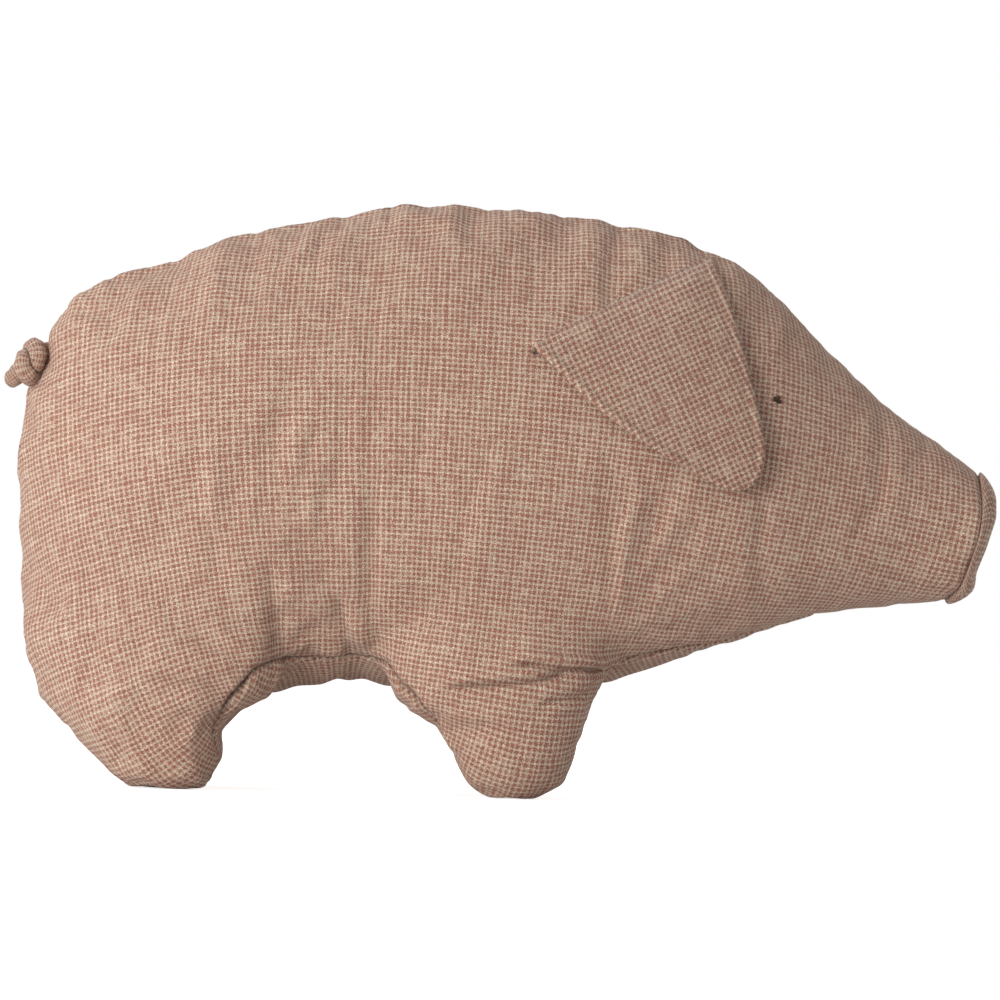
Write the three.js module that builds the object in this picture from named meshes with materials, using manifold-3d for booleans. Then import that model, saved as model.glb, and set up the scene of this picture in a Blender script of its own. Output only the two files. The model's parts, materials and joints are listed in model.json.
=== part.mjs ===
// A stuffed toy pig, sewn from woven cloth: two side panels, a belly gusset, a snout disc,
// two-ply ears, a knotted cloth tail, stitched eyes and the fibre wads that fill it.
// Millimetres, +Z up, +X towards the snout, +Y towards the pig's left side.
// While it is built, X is counted from the rump; the finished group stands centred on the floor.

import * as THREE from 'three';
import { mergeVertices } from 'three/addons/utils/BufferGeometryUtils.js';
import Module from 'manifold-3d';

const wasm = await Module();
wasm.setup();

// Trunk, with its length from the rump to the middle of the snout seam
const trunk = {
  length: 428, back: 267, belly: 47, width: 146, rumpDepth: 46, rumpTaper: 98, neck: 262,
};

// Muzzle
const snout = { height: 60, width: 58, middle: 123, tilt: 13, bow: 6.5, dome: 8, tiltRun: 64 };

// Legs: place of the foot from the rump, and each leg's largest length, width and height
const stance = { width: 88 };
const legs = {
  hind: { place: 69, length: 108, width: 57, top: 118 },
  front: { place: 227, length: 96, width: 54, top: 112 },
};

// Cloth, seams and gusset
const cloth = 1.2;
const seamGap = 0.3;
const gusset = { width: 76, peak: 104, shoulder: 60 };

// Ears: the sewn root line as seen from the side, and the flap below it
const ear = {
  rootPlace: 234, rootHeight: 205, rootLength: 87, rootTilt: 27.3, depth: 100,
  ply: 1.3, standOff: 0.6, lift: 5,
};

// Tail: a narrow tube with one overhand knot, leaving the back seam
const tail = {
  tube: 3.8, knotPlace: 0.2, knotHeight: 191.3, slope: 52, lobe: 3.25, pitch: 3.8, aside: 4,
  rootPlace: 17, rootHeight: 201, freeEnd: 11,
};

// Stitched eye, placed behind the snout seam: three small knots
const eye = { behindSnout: 84.5, height: 183.6, knot: 2.3, ring: 1.1, knots: 3 };

// Mesh densities
const ringSides = 24;
const rumpRings = 6;
const trunkRings = 18;
const domeRings = 3;
const legSides = 14;
const earSteps = 8;
const tubeSides = 8;
const tubeSteps = 60;
const knotPoints = 22;
const knotDetail = [8, 5];
const gussetSteps = 60;
// Stretch of the tail's tube, in diameters, over which its own neighbours aren't measured
const neighbourShare = 2.2;

// Shares along the trunk, then shares of the standing height for the back line
const backShares = [
  [0, 0.838], [0.1, 0.869], [0.15, 0.89], [0.2, 0.925], [0.29, 0.964], [0.36, 0.985], [0.43, 1],
  [0.52, 0.997], [0.61, 0.984], [0.66, 0.97], [0.71, 0.948], [0.755, 0.913], [0.8, 0.86],
  [0.848, 0.783], [0.895, 0.704], [0.942, 0.644],
];
// Shares along the trunk, then the rise above the belly as a share of the standing height
const bellyShares = [
  [0, 0.012], [0.2, 0], [0.33, 0.009], [0.43, 0.015], [0.57, 0.019], [0.638, 0.027],
  [0.661, 0.041], [0.708, 0.0685], [0.755, 0.093], [0.8, 0.12], [0.848, 0.147], [0.895, 0.161],
  [0.942, 0.169],
];
// Shares along the trunk, then shares of the trunk's width
const widthShares = [
  [0, 0.92], [0.1, 0.96], [0.22, 1], [0.45, 1], [0.58, 0.96], [0.7, 0.86], [0.79, 0.745],
  [0.87, 0.575], [0.94, 0.435],
];
// Shares along the trunk, then how full its sections are below their widest place, 2 is oval
const bellyFullShares = [[0, 2.2], [0.58, 2.2], [0.74, 2.8], [0.88, 2.8], [1, 2.2]];
// How high the trunk is widest, and how full its sections are above that, 2 is oval
const widestShare = 0.37;
const backFullShare = 1.75;
const ovalShare = 2;
// How full the rump is, seen from the side and from above
const rumpFullShare = 2.3;
const rumpPlanShare = 1.8;
const domeFullShare = 4;

// Leg outlines: share of the leg's height, rear and front shares of its length, then the shares
// of its width that it fills, that its middle leans inwards and that its rear end turns inwards
const legShares = {
  hind: [
    [0, -0.134, 0.144, 0.46, 0, 0.1], [0.042, -0.194, 0.18, 0.68, 0, 0.15],
    [0.1, -0.278, 0.218, 0.82, 0, 0.22], [0.17, -0.356, 0.238, 0.91, 0, 0.3],
    [0.26, -0.444, 0.29, 0.96, 0, 0.4], [0.34, -0.5, 0.4, 1, 0, 0.46],
    [0.42, -0.55, 0.49, 1, 0, 0.52], [0.52, -0.583, 0.52, 1, 0, 0.55],
    [0.64, -0.588, 0.5, 0.98, 0.03, 0.55], [0.78, -0.55, 0.44, 0.86, 0.16, 0.5],
    [1, -0.37, 0.23, 0.5, 0.35, 0.3],
  ],
  front: [
    [0, -0.12, 0.12, 0.46, 0, 0], [0.045, -0.165, 0.198, 0.68, 0, 0],
    [0.107, -0.229, 0.27, 0.82, 0, 0], [0.18, -0.281, 0.297, 0.91, 0, 0],
    [0.27, -0.36, 0.328, 0.96, 0, 0], [0.33, -0.47, 0.355, 1, 0, 0],
    [0.4, -0.56, 0.385, 1, 0, 0], [0.5, -0.63, 0.45, 1, 0, 0],
    [0.64, -0.64, 0.48, 0.98, 0.03, 0], [0.78, -0.56, 0.46, 0.86, 0.16, 0],
    [1, -0.31, 0.31, 0.5, 0.35, 0],
  ],
};
const legFullShare = 2.2;
const turnFullShare = 1.6;

// Gusset seam: share along the trunk, then the share of the gusset's half width
const gussetShares = [
  [0.015, 0.06], [0.026, 0.3], [0.04, 0.45], [0.055, 0.58], [0.071, 0.7], [0.091, 0.83],
  [0.112, 0.93], [0.127, 1], [0.16, 1.1], [0.19, 1.1], [0.21, 1.25], [0.2185, 1.5],
  [0.228, 1.68], [0.25, 1.68], [0.269, 1.56], [0.285, 1.42], [0.304, 1.22], [0.327, 1.1],
  [0.35, 1.05], [0.374, 1.08], [0.388, 1.22], [0.405, 1.46], [0.42, 1.57], [0.443, 1.55],
  [0.4535, 1.4], [0.461, 1.27], [0.477, 1.16], [0.5, 1.1], [0.6, 1.1], [0.65, 1.04],
  [0.7, 0.84], [0.76, 0.53], [0.82, 0.22], [0.86, 0.055],
];

// Ear outline: share of the flap's depth, then shares of the root length at its two edges
const earShares = [
  [0, 0, 1], [0.17, 0.04, 1], [0.35, 0.125, 0.97], [0.52, 0.222, 0.935], [0.68, 0.335, 0.9],
  [0.81, 0.438, 0.865], [0.9, 0.515, 0.83], [0.96, 0.575, 0.785], [1, 0.64, 0.72],
];

function lookUp(table, at) {
  const places = table.map((row) => row[0]);
  const values = table.flatMap((row) => row.slice(1));
  const held = THREE.MathUtils.clamp(at, places[0], places.at(-1));
  return Array.from(new THREE.CubicInterpolant(places, values, table[0].length - 1).evaluate(held));
}

function linear(table, at) {
  const places = table.map((row) => row[0]);
  const values = table.flatMap((row) => row.slice(1));
  const held = THREE.MathUtils.clamp(at, places[0], places.at(-1));
  return Array.from(new THREE.LinearInterpolant(places, values, table[0].length - 1).evaluate(held));
}

// A point of a superellipse of half sizes 1, at an angle counted from the top
function section(angle, full) {
  const across = Math.sin(angle);
  const up = Math.cos(angle);
  return {
    across: Math.sign(across) * Math.abs(across) ** (2 / full),
    up: Math.sign(up) * Math.abs(up) ** (2 / full),
  };
}

// Rounding at the closed rump end: 0 at the end, 1 once the full section is reached
function rumpRound(distance, depth, full) {
  const left = 1 - Math.min(distance / depth, 1);
  return (1 - left ** full) ** (1 / full);
}

// The trunk's section at a distance from the rump
function station(distance) {
  const share = distance / trunk.length;
  const snoutSpan = snout.height / 2;
  const backLine = [...backShares, [1, (snout.middle + snoutSpan) / trunk.back]];
  const bellyLine = [...bellyShares, [1, (snout.middle - snoutSpan - trunk.belly) / trunk.back]];
  const widthLine = [...widthShares, [1, snout.width / trunk.width]];
  const turned = THREE.MathUtils.smoothstep(distance, trunk.length - snout.tiltRun, trunk.length);
  const top = lookUp(backLine, share)[0] * trunk.back;
  const bottom = trunk.belly + lookUp(bellyLine, share)[0] * trunk.back;
  const middle = THREE.MathUtils.lerp(bottom, top, THREE.MathUtils.lerp(widestShare, 1 / 2, turned));
  return {
    distance,
    middle,
    rise: top - middle,
    drop: middle - bottom,
    side: lookUp(widthLine, share)[0] * trunk.width / 2,
    deep: rumpRound(distance, trunk.rumpDepth, rumpFullShare),
    wide: rumpRound(distance, trunk.rumpTaper, rumpPlanShare),
    backFull: THREE.MathUtils.lerp(backFullShare, ovalShare, turned),
    bellyFull: THREE.MathUtils.lerp(lookUp(bellyFullShares, share)[0], ovalShare, turned),
    tilt: THREE.MathUtils.degToRad(snout.tilt) * turned,
    bow: snout.bow * turned,
  };
}

// A point of the trunk's skin, drawn in by an inset; reach runs to 0 at the middle of the snout
function skinPoint(at, angle, inset, reach = 1) {
  const upper = Math.cos(angle) >= 0;
  const round = section(angle, upper ? at.backFull : at.bellyFull);
  const up = round.up * reach * ((upper ? at.rise : at.drop) - inset) * at.deep;
  const dome = (snout.dome - inset) * (1 - reach ** domeFullShare);
  const ahead = at.bow * (1 - (round.up * reach) ** 2) + dome;
  const along = inset + at.distance * (1 - inset / trunk.length);
  return new THREE.Vector3(
    along + up * Math.sin(at.tilt) + ahead * Math.cos(at.tilt),
    round.across * reach * (at.side - inset) * at.wide,
    at.middle + up * Math.cos(at.tilt) - ahead * Math.sin(at.tilt),
  );
}

function ringOf(sides, pointAt) {
  return Array.from({ length: sides }, (_, step) => pointAt(2 * Math.PI * step / sides));
}

// One closed mesh through rings of points, with a point closing each end
function loft(first, rings, last) {
  const sides = rings[0].length;
  const points = [first, ...rings.flat(), last];
  const index = [];
  const at = (ring, side) => 1 + ring * sides + side % sides;
  for (let side = 0; side < sides; side += 1) {
    index.push(0, at(0, side + 1), at(0, side));
    index.push(points.length - 1, at(rings.length - 1, side), at(rings.length - 1, side + 1));
    for (let ring = 0; ring + 1 < rings.length; ring += 1) {
      index.push(at(ring, side), at(ring, side + 1), at(ring + 1, side));
      index.push(at(ring + 1, side), at(ring, side + 1), at(ring + 1, side + 1));
    }
  }
  return meshOf(points, index);
}

function meshOf(points, index) {
  const geometry = new THREE.BufferGeometry();
  const flat = points.flatMap((point) => [point.x, point.y, point.z]);
  geometry.setAttribute('position', new THREE.Float32BufferAttribute(flat, 3));
  geometry.setIndex(index);
  return solid(geometry);
}

// A geometry as a solid for cutting and joining, turned outwards where it was inside out
function solid(source) {
  const bare = source.clone();
  bare.deleteAttribute('normal');
  bare.deleteAttribute('uv');
  const merged = mergeVertices(bare);
  const shape = (triVerts) => new wasm.Manifold(new wasm.Mesh({
    numProp: 3,
    vertProperties: Float32Array.from(merged.attributes.position.array),
    triVerts,
  }));
  const faces = Uint32Array.from(merged.index.array);
  const made = shape(faces);
  if (made.volume() > 0) return made;
  return shape(faces.reverse());
}

// Distances of the trunk's rings: close together round the rump, then even to the snout seam
function ringDistances() {
  const rump = Array.from({ length: rumpRings }, (_, step) => {
    const turn = (Math.PI / 2) * (step + 1) / (rumpRings + 1);
    return trunk.rumpDepth * (1 - Math.cos(turn));
  });
  const rest = Array.from({ length: trunkRings + 1 }, (_, step) => (
    THREE.MathUtils.lerp(trunk.rumpDepth, trunk.length, step / trunkRings)
  ));
  return [...rump, ...rest];
}

// The trunk drawn in by an inset, ending flat at the snout seam or with the snout's dome
function trunkSolid(inset, domed) {
  const rings = ringDistances().map((distance) => {
    const at = station(distance);
    return ringOf(ringSides, (angle) => skinPoint(at, angle, inset));
  });
  const rumpEnd = new THREE.Vector3(inset, 0, station(0).middle);
  const end = station(trunk.length);
  if (!domed) {
    return loft(rumpEnd, rings, new THREE.Vector3(trunk.length, 0, snout.middle));
  }
  for (let step = 1; step <= domeRings; step += 1) {
    const reach = Math.cos((Math.PI / 2) * step / (domeRings + 1));
    rings.push(ringOf(ringSides, (angle) => skinPoint(end, angle, inset, reach)));
  }
  return loft(rumpEnd, rings, skinPoint(end, 0, inset, 0));
}

// One leg drawn in by an inset, side is 1 for the left and -1 for the right
function legSolid(name, side, inset) {
  const leg = legs[name];
  const rings = legShares[name].map((row) => {
    const [heightShare, rearShare, frontShare, fullShare, leanShare, turnShare] = row;
    const rear = rearShare * leg.length + inset;
    const front = frontShare * leg.length - inset;
    const thick = fullShare * leg.width / 2 - inset;
    const height = inset + heightShare * (leg.top - inset);
    return ringOf(legSides, (angle) => {
      const round = section(angle, legFullShare);
      const turned = turnShare * Math.max(0, -round.up) ** turnFullShare;
      return new THREE.Vector3(
        leg.place + (rear + front) / 2 + round.up * (front - rear) / 2,
        side * (stance.width / 2 - (leanShare + turned) * leg.width) + round.across * thick,
        height,
      );
    });
  });
  const foot = new THREE.Vector3(leg.place, side * stance.width / 2, inset);
  const leanShare = legShares[name].at(-1).at(-2);
  const hip = new THREE.Vector3(leg.place, side * (stance.width / 2 - leanShare * leg.width), leg.top);
  return loft(foot, rings, hip);
}

const legNames = Object.keys(legs);
const sides = { left: 1, right: -1 };

function bodySolid(inset, domed) {
  let whole = trunkSolid(inset, domed);
  for (const name of legNames) {
    for (const side of Object.values(sides)) {
      whole = whole.add(legSolid(name, side, inset));
    }
  }
  return whole;
}

// Everything below the seams that join the gusset to the side panels, widened by a clearance
function gussetZone(clearance) {
  const half = gusset.width / 2 + clearance;
  const edge = [];
  const rearShare = gussetShares[0][0];
  const tipShare = gussetShares.at(-1)[0];
  for (let step = 0; step <= gussetSteps; step += 1) {
    const share = THREE.MathUtils.lerp(rearShare, tipShare, step / gussetSteps);
    const across = linear(gussetShares, share)[0] * gusset.width / 2 + clearance;
    edge.push(new THREE.Vector2(share * trunk.length, across));
  }
  edge[0].x -= clearance;
  edge.at(-1).x += clearance;
  const mirrored = edge.map((point) => new THREE.Vector2(point.x, -point.y)).reverse();
  const plan = new THREE.ExtrudeGeometry(new THREE.Shape([...mirrored, ...edge]), {
    depth: trunk.back, bevelEnabled: false,
  });
  plan.translate(0, 0, -seamGap);
  const roof = new THREE.Shape([
    new THREE.Vector2(-trunk.width, -trunk.belly),
    new THREE.Vector2(trunk.width, -trunk.belly),
    new THREE.Vector2(trunk.width, gusset.shoulder + clearance),
    new THREE.Vector2(half, gusset.shoulder + clearance),
    new THREE.Vector2(0, gusset.peak + clearance),
    new THREE.Vector2(-half, gusset.shoulder + clearance),
    new THREE.Vector2(-trunk.width, gusset.shoulder + clearance),
  ]);
  const length = trunk.length + 2 * trunk.rumpDepth;
  const prism = new THREE.ExtrudeGeometry(roof, { depth: length, bevelEnabled: false });
  prism.rotateX(Math.PI / 2);
  prism.rotateZ(Math.PI / 2);
  prism.translate(-trunk.rumpDepth, 0, 0);
  return solid(plan).intersect(solid(prism));
}

function block(low, high) {
  const size = new THREE.Vector3().subVectors(high, low);
  const geometry = new THREE.BoxGeometry(size.x, size.y, size.z);
  geometry.translate(low.x + size.x / 2, low.y + size.y / 2, low.z + size.z / 2);
  return solid(geometry);
}

// Half of all space on one side of the back seam
function halfSpace(side) {
  const reach = 2 * trunk.length;
  const near = side * seamGap / 2;
  const far = side * reach;
  return block(
    new THREE.Vector3(-reach, Math.min(near, far), -reach),
    new THREE.Vector3(reach, Math.max(near, far), reach),
  );
}

// Skin point of the trunk's flank for a place seen from the side, standing off by a distance
function flankPoint(place, height, side, off) {
  const at = (along, up) => {
    const here = station(along);
    const upper = up >= here.middle;
    const full = upper ? here.backFull : here.bellyFull;
    const span = (upper ? here.rise : here.drop) * here.deep;
    const share = Math.min(Math.abs(up - here.middle) / span, 1);
    return new THREE.Vector3(along, side * here.side * here.wide * (1 - share ** full) ** (1 / full), up);
  };
  const probe = cloth;
  const alongEdge = new THREE.Vector3().subVectors(at(place + probe, height), at(place - probe, height));
  const upEdge = new THREE.Vector3().subVectors(at(place, height + probe), at(place, height - probe));
  const normal = new THREE.Vector3().crossVectors(upEdge, alongEdge).normalize().multiplyScalar(side);
  return at(place, height).addScaledVector(normal, off);
}

// A closed sheet between two offsets of a grid of points
function sheetSolid(steps, pointAt, near, far) {
  const wide = steps + 1;
  const points = [];
  for (const off of [near, far]) {
    for (let down = 0; down <= steps; down += 1) {
      for (let over = 0; over <= steps; over += 1) {
        points.push(pointAt(over / steps, down / steps, off));
      }
    }
  }
  const layer = wide * wide;
  const index = [];
  const quad = (a, b, c, d) => index.push(a, b, c, a, c, d);
  for (let down = 0; down < steps; down += 1) {
    for (let over = 0; over < steps; over += 1) {
      const a = down * wide + over;
      quad(a, a + 1, a + wide + 1, a + wide);
      quad(layer + a, layer + a + wide, layer + a + wide + 1, layer + a + 1);
    }
  }
  for (let step = 0; step < steps; step += 1) {
    const left = step * wide;
    const right = left + steps;
    const low = steps * wide + step;
    quad(step + 1, step, layer + step, layer + step + 1);
    quad(left, left + wide, layer + left + wide, layer + left);
    quad(right + wide, right, layer + right, layer + right + wide);
    quad(low, low + 1, layer + low + 1, layer + low);
  }
  return meshOf(points, index);
}

// One ply of an ear, lying on the flank with its root on the sewn line
function earPly(side, layer) {
  const tilt = THREE.MathUtils.degToRad(ear.rootTilt);
  const near = ear.standOff + layer * (ear.ply + seamGap);
  return sheetSolid(earSteps, (over, down, off) => {
    const depthShare = Math.sin(down * Math.PI / 2);
    const [leftShare, rightShare] = linear(earShares, depthShare);
    const along = THREE.MathUtils.lerp(leftShare, rightShare, over) * ear.rootLength;
    const below = depthShare * ear.depth;
    const place = ear.rootPlace + along * Math.cos(tilt) + below * Math.sin(tilt);
    const height = ear.rootHeight + along * Math.sin(tilt) - below * Math.cos(tilt);
    return flankPoint(place, height, side, off + ear.lift * depthShare ** 2);
  }, near, near + ear.ply);
}

// The tail's centre line: out of the back seam, once round an overhand knot, and a free end
function tailLine() {
  const slope = THREE.MathUtils.degToRad(tail.slope);
  const out = new THREE.Vector3(-Math.cos(slope), 0, -Math.sin(slope));
  const off = new THREE.Vector3(-Math.sin(slope), 0, Math.cos(slope));
  const middle = new THREE.Vector3(tail.knotPlace, -tail.aside, tail.knotHeight);
  const place = (forward, across, up) => middle.clone()
    .addScaledVector(out, forward)
    .add(new THREE.Vector3(0, across, 0))
    .addScaledVector(off, up);
  const lobeTurn = Math.PI / 3;
  const open = lobeTurn / 2;
  const points = [new THREE.Vector3(tail.rootPlace, 0, tail.rootHeight)];
  for (let step = 0; step <= knotPoints; step += 1) {
    const turn = lobeTurn + open + (2 * Math.PI - 2 * open) * step / knotPoints;
    const flatX = Math.sin(turn) + 2 * Math.sin(2 * turn);
    const flatY = Math.cos(turn) - 2 * Math.cos(2 * turn);
    const outward = Math.cos(lobeTurn / 2) * flatX + Math.sin(lobeTurn / 2) * flatY;
    const sideways = Math.cos(lobeTurn / 2) * flatY - Math.sin(lobeTurn / 2) * flatX;
    points.push(place(-sideways * tail.lobe, outward * tail.lobe, -Math.sin(3 * turn) * tail.pitch));
  }
  points.push(place(tail.freeEnd, tail.aside, 0));
  return new THREE.CatmullRomCurve3(points, false, 'centripetal');
}

function tubeSolid(line, diameter) {
  const round = new THREE.Shape(Array.from({ length: tubeSides }, (_, step) => {
    const turn = 2 * Math.PI * step / tubeSides;
    return new THREE.Vector2(Math.cos(turn), Math.sin(turn)).multiplyScalar(diameter / 2);
  }));
  return solid(new THREE.ExtrudeGeometry(round, { steps: tubeSteps, extrudePath: line }));
}

// Least gap between two stretches of the tail's tube that don't follow one another
function leastGap(line, diameter) {
  const points = line.getSpacedPoints(2 * tubeSteps);
  const step = line.getLength() / (2 * tubeSteps);
  const apart = Math.ceil(neighbourShare * diameter / step);
  let least = Infinity;
  points.forEach((point, place) => {
    for (let other = place + apart; other < points.length; other += 1) {
      least = Math.min(least, point.distanceTo(points[other]) - diameter);
    }
  });
  return least;
}

function eyeSolid(side) {
  const middle = flankPoint(trunk.length - eye.behindSnout, eye.height, side, 0);
  let whole = null;
  for (let step = 0; step < eye.knots; step += 1) {
    const turn = 2 * Math.PI * step / eye.knots;
    const bead = new THREE.SphereGeometry(eye.knot / 2, ...knotDetail);
    bead.translate(middle.x + eye.ring * Math.cos(turn), middle.y, middle.z + eye.ring * Math.sin(turn));
    whole = whole ? whole.add(solid(bead)) : solid(bead);
  }
  return whole;
}

function material(color) {
  return new THREE.MeshStandardMaterial({ color, roughness: 1, metalness: 0 });
}

const materials = {
  weave: material(0xb8947f),
  lining: material(0x9f8070),
  thread: material(0x4a2f22),
  fibre: material(0xf1ece2),
};

const pig = new THREE.Group();

// Adds a finished solid to the toy as a named mesh
function addPiece(name, made, look) {
  const { vertProperties, triVerts, numProp } = made.getMesh();
  const geometry = new THREE.BufferGeometry();
  const positions = new Float32Array(vertProperties.length / numProp * 3);
  for (let vertex = 0; vertex * numProp < vertProperties.length; vertex += 1) {
    positions.set(vertProperties.subarray(vertex * numProp, vertex * numProp + 3), vertex * 3);
  }
  geometry.setAttribute('position', new THREE.BufferAttribute(positions, 3));
  geometry.setIndex(new THREE.BufferAttribute(triVerts, 1));
  const mesh = new THREE.Mesh(geometry, look);
  mesh.name = name;
  pig.add(mesh);
  return mesh;
}

// Cover: the space between the skin and the same body drawn in by the cloth
const outerBody = bodySolid(0, false);
const cover = outerBody.subtract(bodySolid(cloth, true));
const upperCover = cover.subtract(gussetZone(seamGap / 2));
addPiece('left_side_panel', upperCover.intersect(halfSpace(sides.left)), materials.weave);
addPiece('right_side_panel', upperCover.intersect(halfSpace(sides.right)), materials.weave);
addPiece('belly_gusset', cover.intersect(gussetZone(-seamGap / 2)), materials.weave);

// Snout disc: a domed ply standing one seam gap ahead of the side panels
function snoutDisc() {
  const end = station(trunk.length);
  const ahead = new THREE.Vector3(Math.cos(end.tilt), 0, -Math.sin(end.tilt)).multiplyScalar(seamGap);
  const rimAt = (inset, step) => {
    const reach = Math.cos((Math.PI / 2) * step / (domeRings + 1));
    return ringOf(ringSides, (angle) => skinPoint(end, angle, inset, reach).add(ahead));
  };
  const outer = Array.from({ length: domeRings + 1 }, (_, step) => rimAt(0, domeRings - step));
  const inner = Array.from({ length: domeRings + 1 }, (_, step) => rimAt(cloth, step));
  const front = skinPoint(end, 0, 0, 0).add(ahead);
  const back = skinPoint(end, 0, cloth, 0).add(ahead);
  return loft(front, [...outer, ...inner], back);
}
addPiece('snout_disc', snoutDisc(), materials.weave);

// Fibre wads, one seam gap inside the cloth, the legs' wads cut by the trunk's
const inside = cloth + seamGap;
const wad = trunkSolid(inside, true);
const farEnd = 2 * trunk.length;
const rearSpace = block(
  new THREE.Vector3(-farEnd, -farEnd, -farEnd),
  new THREE.Vector3(trunk.neck - seamGap / 2, farEnd, farEnd),
);
const frontSpace = block(
  new THREE.Vector3(trunk.neck + seamGap / 2, -farEnd, -farEnd),
  new THREE.Vector3(farEnd, farEnd, farEnd),
);
addPiece('filling_torso', wad.intersect(rearSpace), materials.fibre);
addPiece('filling_head', wad.intersect(frontSpace), materials.fibre);
const trunkRoom = trunkSolid(cloth, true);
for (const [sideName, side] of Object.entries(sides)) {
  for (const name of legNames) {
    const legWad = legSolid(name, side, inside).subtract(trunkRoom);
    addPiece(`filling_${sideName}_${name}_leg`, legWad, materials.fibre);
  }
}

// Ears, tail and eyes, which keep one seam gap to the skin
const trunkSpace = trunkSolid(-seamGap, false);
for (const [sideName, side] of Object.entries(sides)) {
  addPiece(`${sideName}_ear_lining`, earPly(side, 0), materials.lining);
  addPiece(`${sideName}_ear_outer`, earPly(side, 1), materials.weave);
  addPiece(`${sideName}_eye`, eyeSolid(side).subtract(trunkSpace), materials.thread);
}
const tailPath = tailLine();
console.log(`least gap in the tail's knot: ${leastGap(tailPath, tail.tube).toFixed(2)} mm`);
addPiece('tail', tubeSolid(tailPath, tail.tube).subtract(trunkSpace), materials.weave);

// The toy stands on the floor with its middle over the origin
const box = new THREE.Box3().setFromObject(pig);
const middle = box.getCenter(new THREE.Vector3());
pig.position.set(-middle.x, -middle.y, -box.min.z);
const group = new THREE.Group();
group.add(pig);

export default group;
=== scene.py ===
"""A stuffed toy pig in checked woven cloth: panels, seams, folds, ears, knotted tail and stitched eyes."""

import json
import math

import bmesh
import bpy
import numpy as np
from bpy.props import FloatProperty, FloatVectorProperty, IntProperty, PointerProperty
from mathutils import Matrix, Vector, noise
from mathutils.bvhtree import BVHTree
from mathutils.kdtree import KDTree


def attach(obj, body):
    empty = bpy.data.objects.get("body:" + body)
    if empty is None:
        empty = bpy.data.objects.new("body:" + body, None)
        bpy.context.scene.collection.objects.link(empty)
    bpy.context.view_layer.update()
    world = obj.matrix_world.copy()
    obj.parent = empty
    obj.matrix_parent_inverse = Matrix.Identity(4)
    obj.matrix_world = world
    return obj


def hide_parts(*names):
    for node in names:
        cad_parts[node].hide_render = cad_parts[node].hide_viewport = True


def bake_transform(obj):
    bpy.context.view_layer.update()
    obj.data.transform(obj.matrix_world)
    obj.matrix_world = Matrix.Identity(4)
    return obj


bl_info = {
    "name": "Checked Cloth Pig",
    "version": (1, 0, 0),
    "blender": (4, 5, 0),
    "location": "View3D > Sidebar > Pig",
    "description": "Sews a stuffed toy pig around its packed parts",
    "category": "Object",
}

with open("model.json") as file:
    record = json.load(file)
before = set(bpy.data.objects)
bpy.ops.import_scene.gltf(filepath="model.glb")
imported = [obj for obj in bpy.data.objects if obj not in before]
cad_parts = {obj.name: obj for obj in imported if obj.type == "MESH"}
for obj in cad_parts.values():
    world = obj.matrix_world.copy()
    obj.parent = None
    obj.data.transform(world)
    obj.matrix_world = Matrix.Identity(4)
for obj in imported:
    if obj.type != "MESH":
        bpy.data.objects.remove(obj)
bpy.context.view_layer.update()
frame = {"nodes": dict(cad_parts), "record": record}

MM = 0.001
TINY = MM / 1000
SIDES = {"right": -1, "left": 1}
PANELS = ("right_side_panel", "left_side_panel", "belly_gusset", "snout_disc")
RIGHT, LEFT, GUSSET, DISC = range(len(PANELS))
FILLINGS = tuple(sorted(name for name in frame["nodes"] if name.startswith("filling_")))
FEET = [mount["pos_m"][:2] for mount in frame["record"]["mounts"]]

# Layers and meshes that one step makes and another reads
GRAIN = "Grain"
PAINTED_SHADE = "painted_shade"
BARE_SKIN = "bare_skin"
DRESSED_SKIN = "dressed_skin"


class ClothSettings(bpy.types.PropertyGroup):
    """The checked cloth and how it is woven."""

    check: FloatProperty(
        name="Check", description="Width of one check", default=2.43 * MM, unit="LENGTH")
    thickness: FloatProperty(
        name="Thickness", description="Thickness of the cloth", default=1.2 * MM, unit="LENGTH")
    rose: FloatVectorProperty(
        name="Dark yarn", description="Colour of the dark yarns", subtype="COLOR",
        default=(0.352, 0.144, 0.102))
    cream: FloatVectorProperty(
        name="Light yarn", description="Colour of the light yarns", subtype="COLOR",
        default=(0.65, 0.515, 0.385))
    yarn_height: FloatProperty(
        name="Yarn height", description="Relief of the yarns", default=0.16 * MM, unit="LENGTH")


class StuffingSettings(bpy.types.PropertyGroup):
    """How the cover is filled until it swells."""

    grid: FloatProperty(
        name="Grid", description="Size of the cover's faces before it is filled",
        default=3.3 * MM, unit="LENGTH")
    pressure: FloatProperty(
        name="Pressure", description="How hard the filling pushes", default=5.0)
    spare: FloatProperty(
        name="Spare cloth", description="Share by which the cloth is larger than its seams",
        default=0.045, subtype="FACTOR")
    frames: IntProperty(
        name="Frames", description="Steps of the filling", default=20)
    reach: FloatProperty(
        name="Reach", description="Furthest that filling moves the cloth",
        default=3.5 * MM, unit="LENGTH")
    swell: FloatProperty(
        name="Swell", description="Share of the broad swelling kept beside the wrinkles",
        default=0.2, subtype="FACTOR")
    wad_grid: FloatProperty(
        name="Wad grid", description="Size of a fibre wad's faces", default=5 * MM, unit="LENGTH")
    wad_inset: FloatProperty(
        name="Wad inset", description="How far a wad lies inside its packed solid",
        default=4.5 * MM, unit="LENGTH")
    tuft: FloatProperty(
        name="Tuft", description="Height of a wad's tufts", default=2 * MM, unit="LENGTH")
    tuft_width: FloatProperty(
        name="Tuft width", description="Width of a wad's tufts", default=9 * MM, unit="LENGTH")
    wad_depth: FloatProperty(
        name="Wad depth", description="Least depth of a wad under the cloth", default=7 * MM,
        unit="LENGTH")


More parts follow.
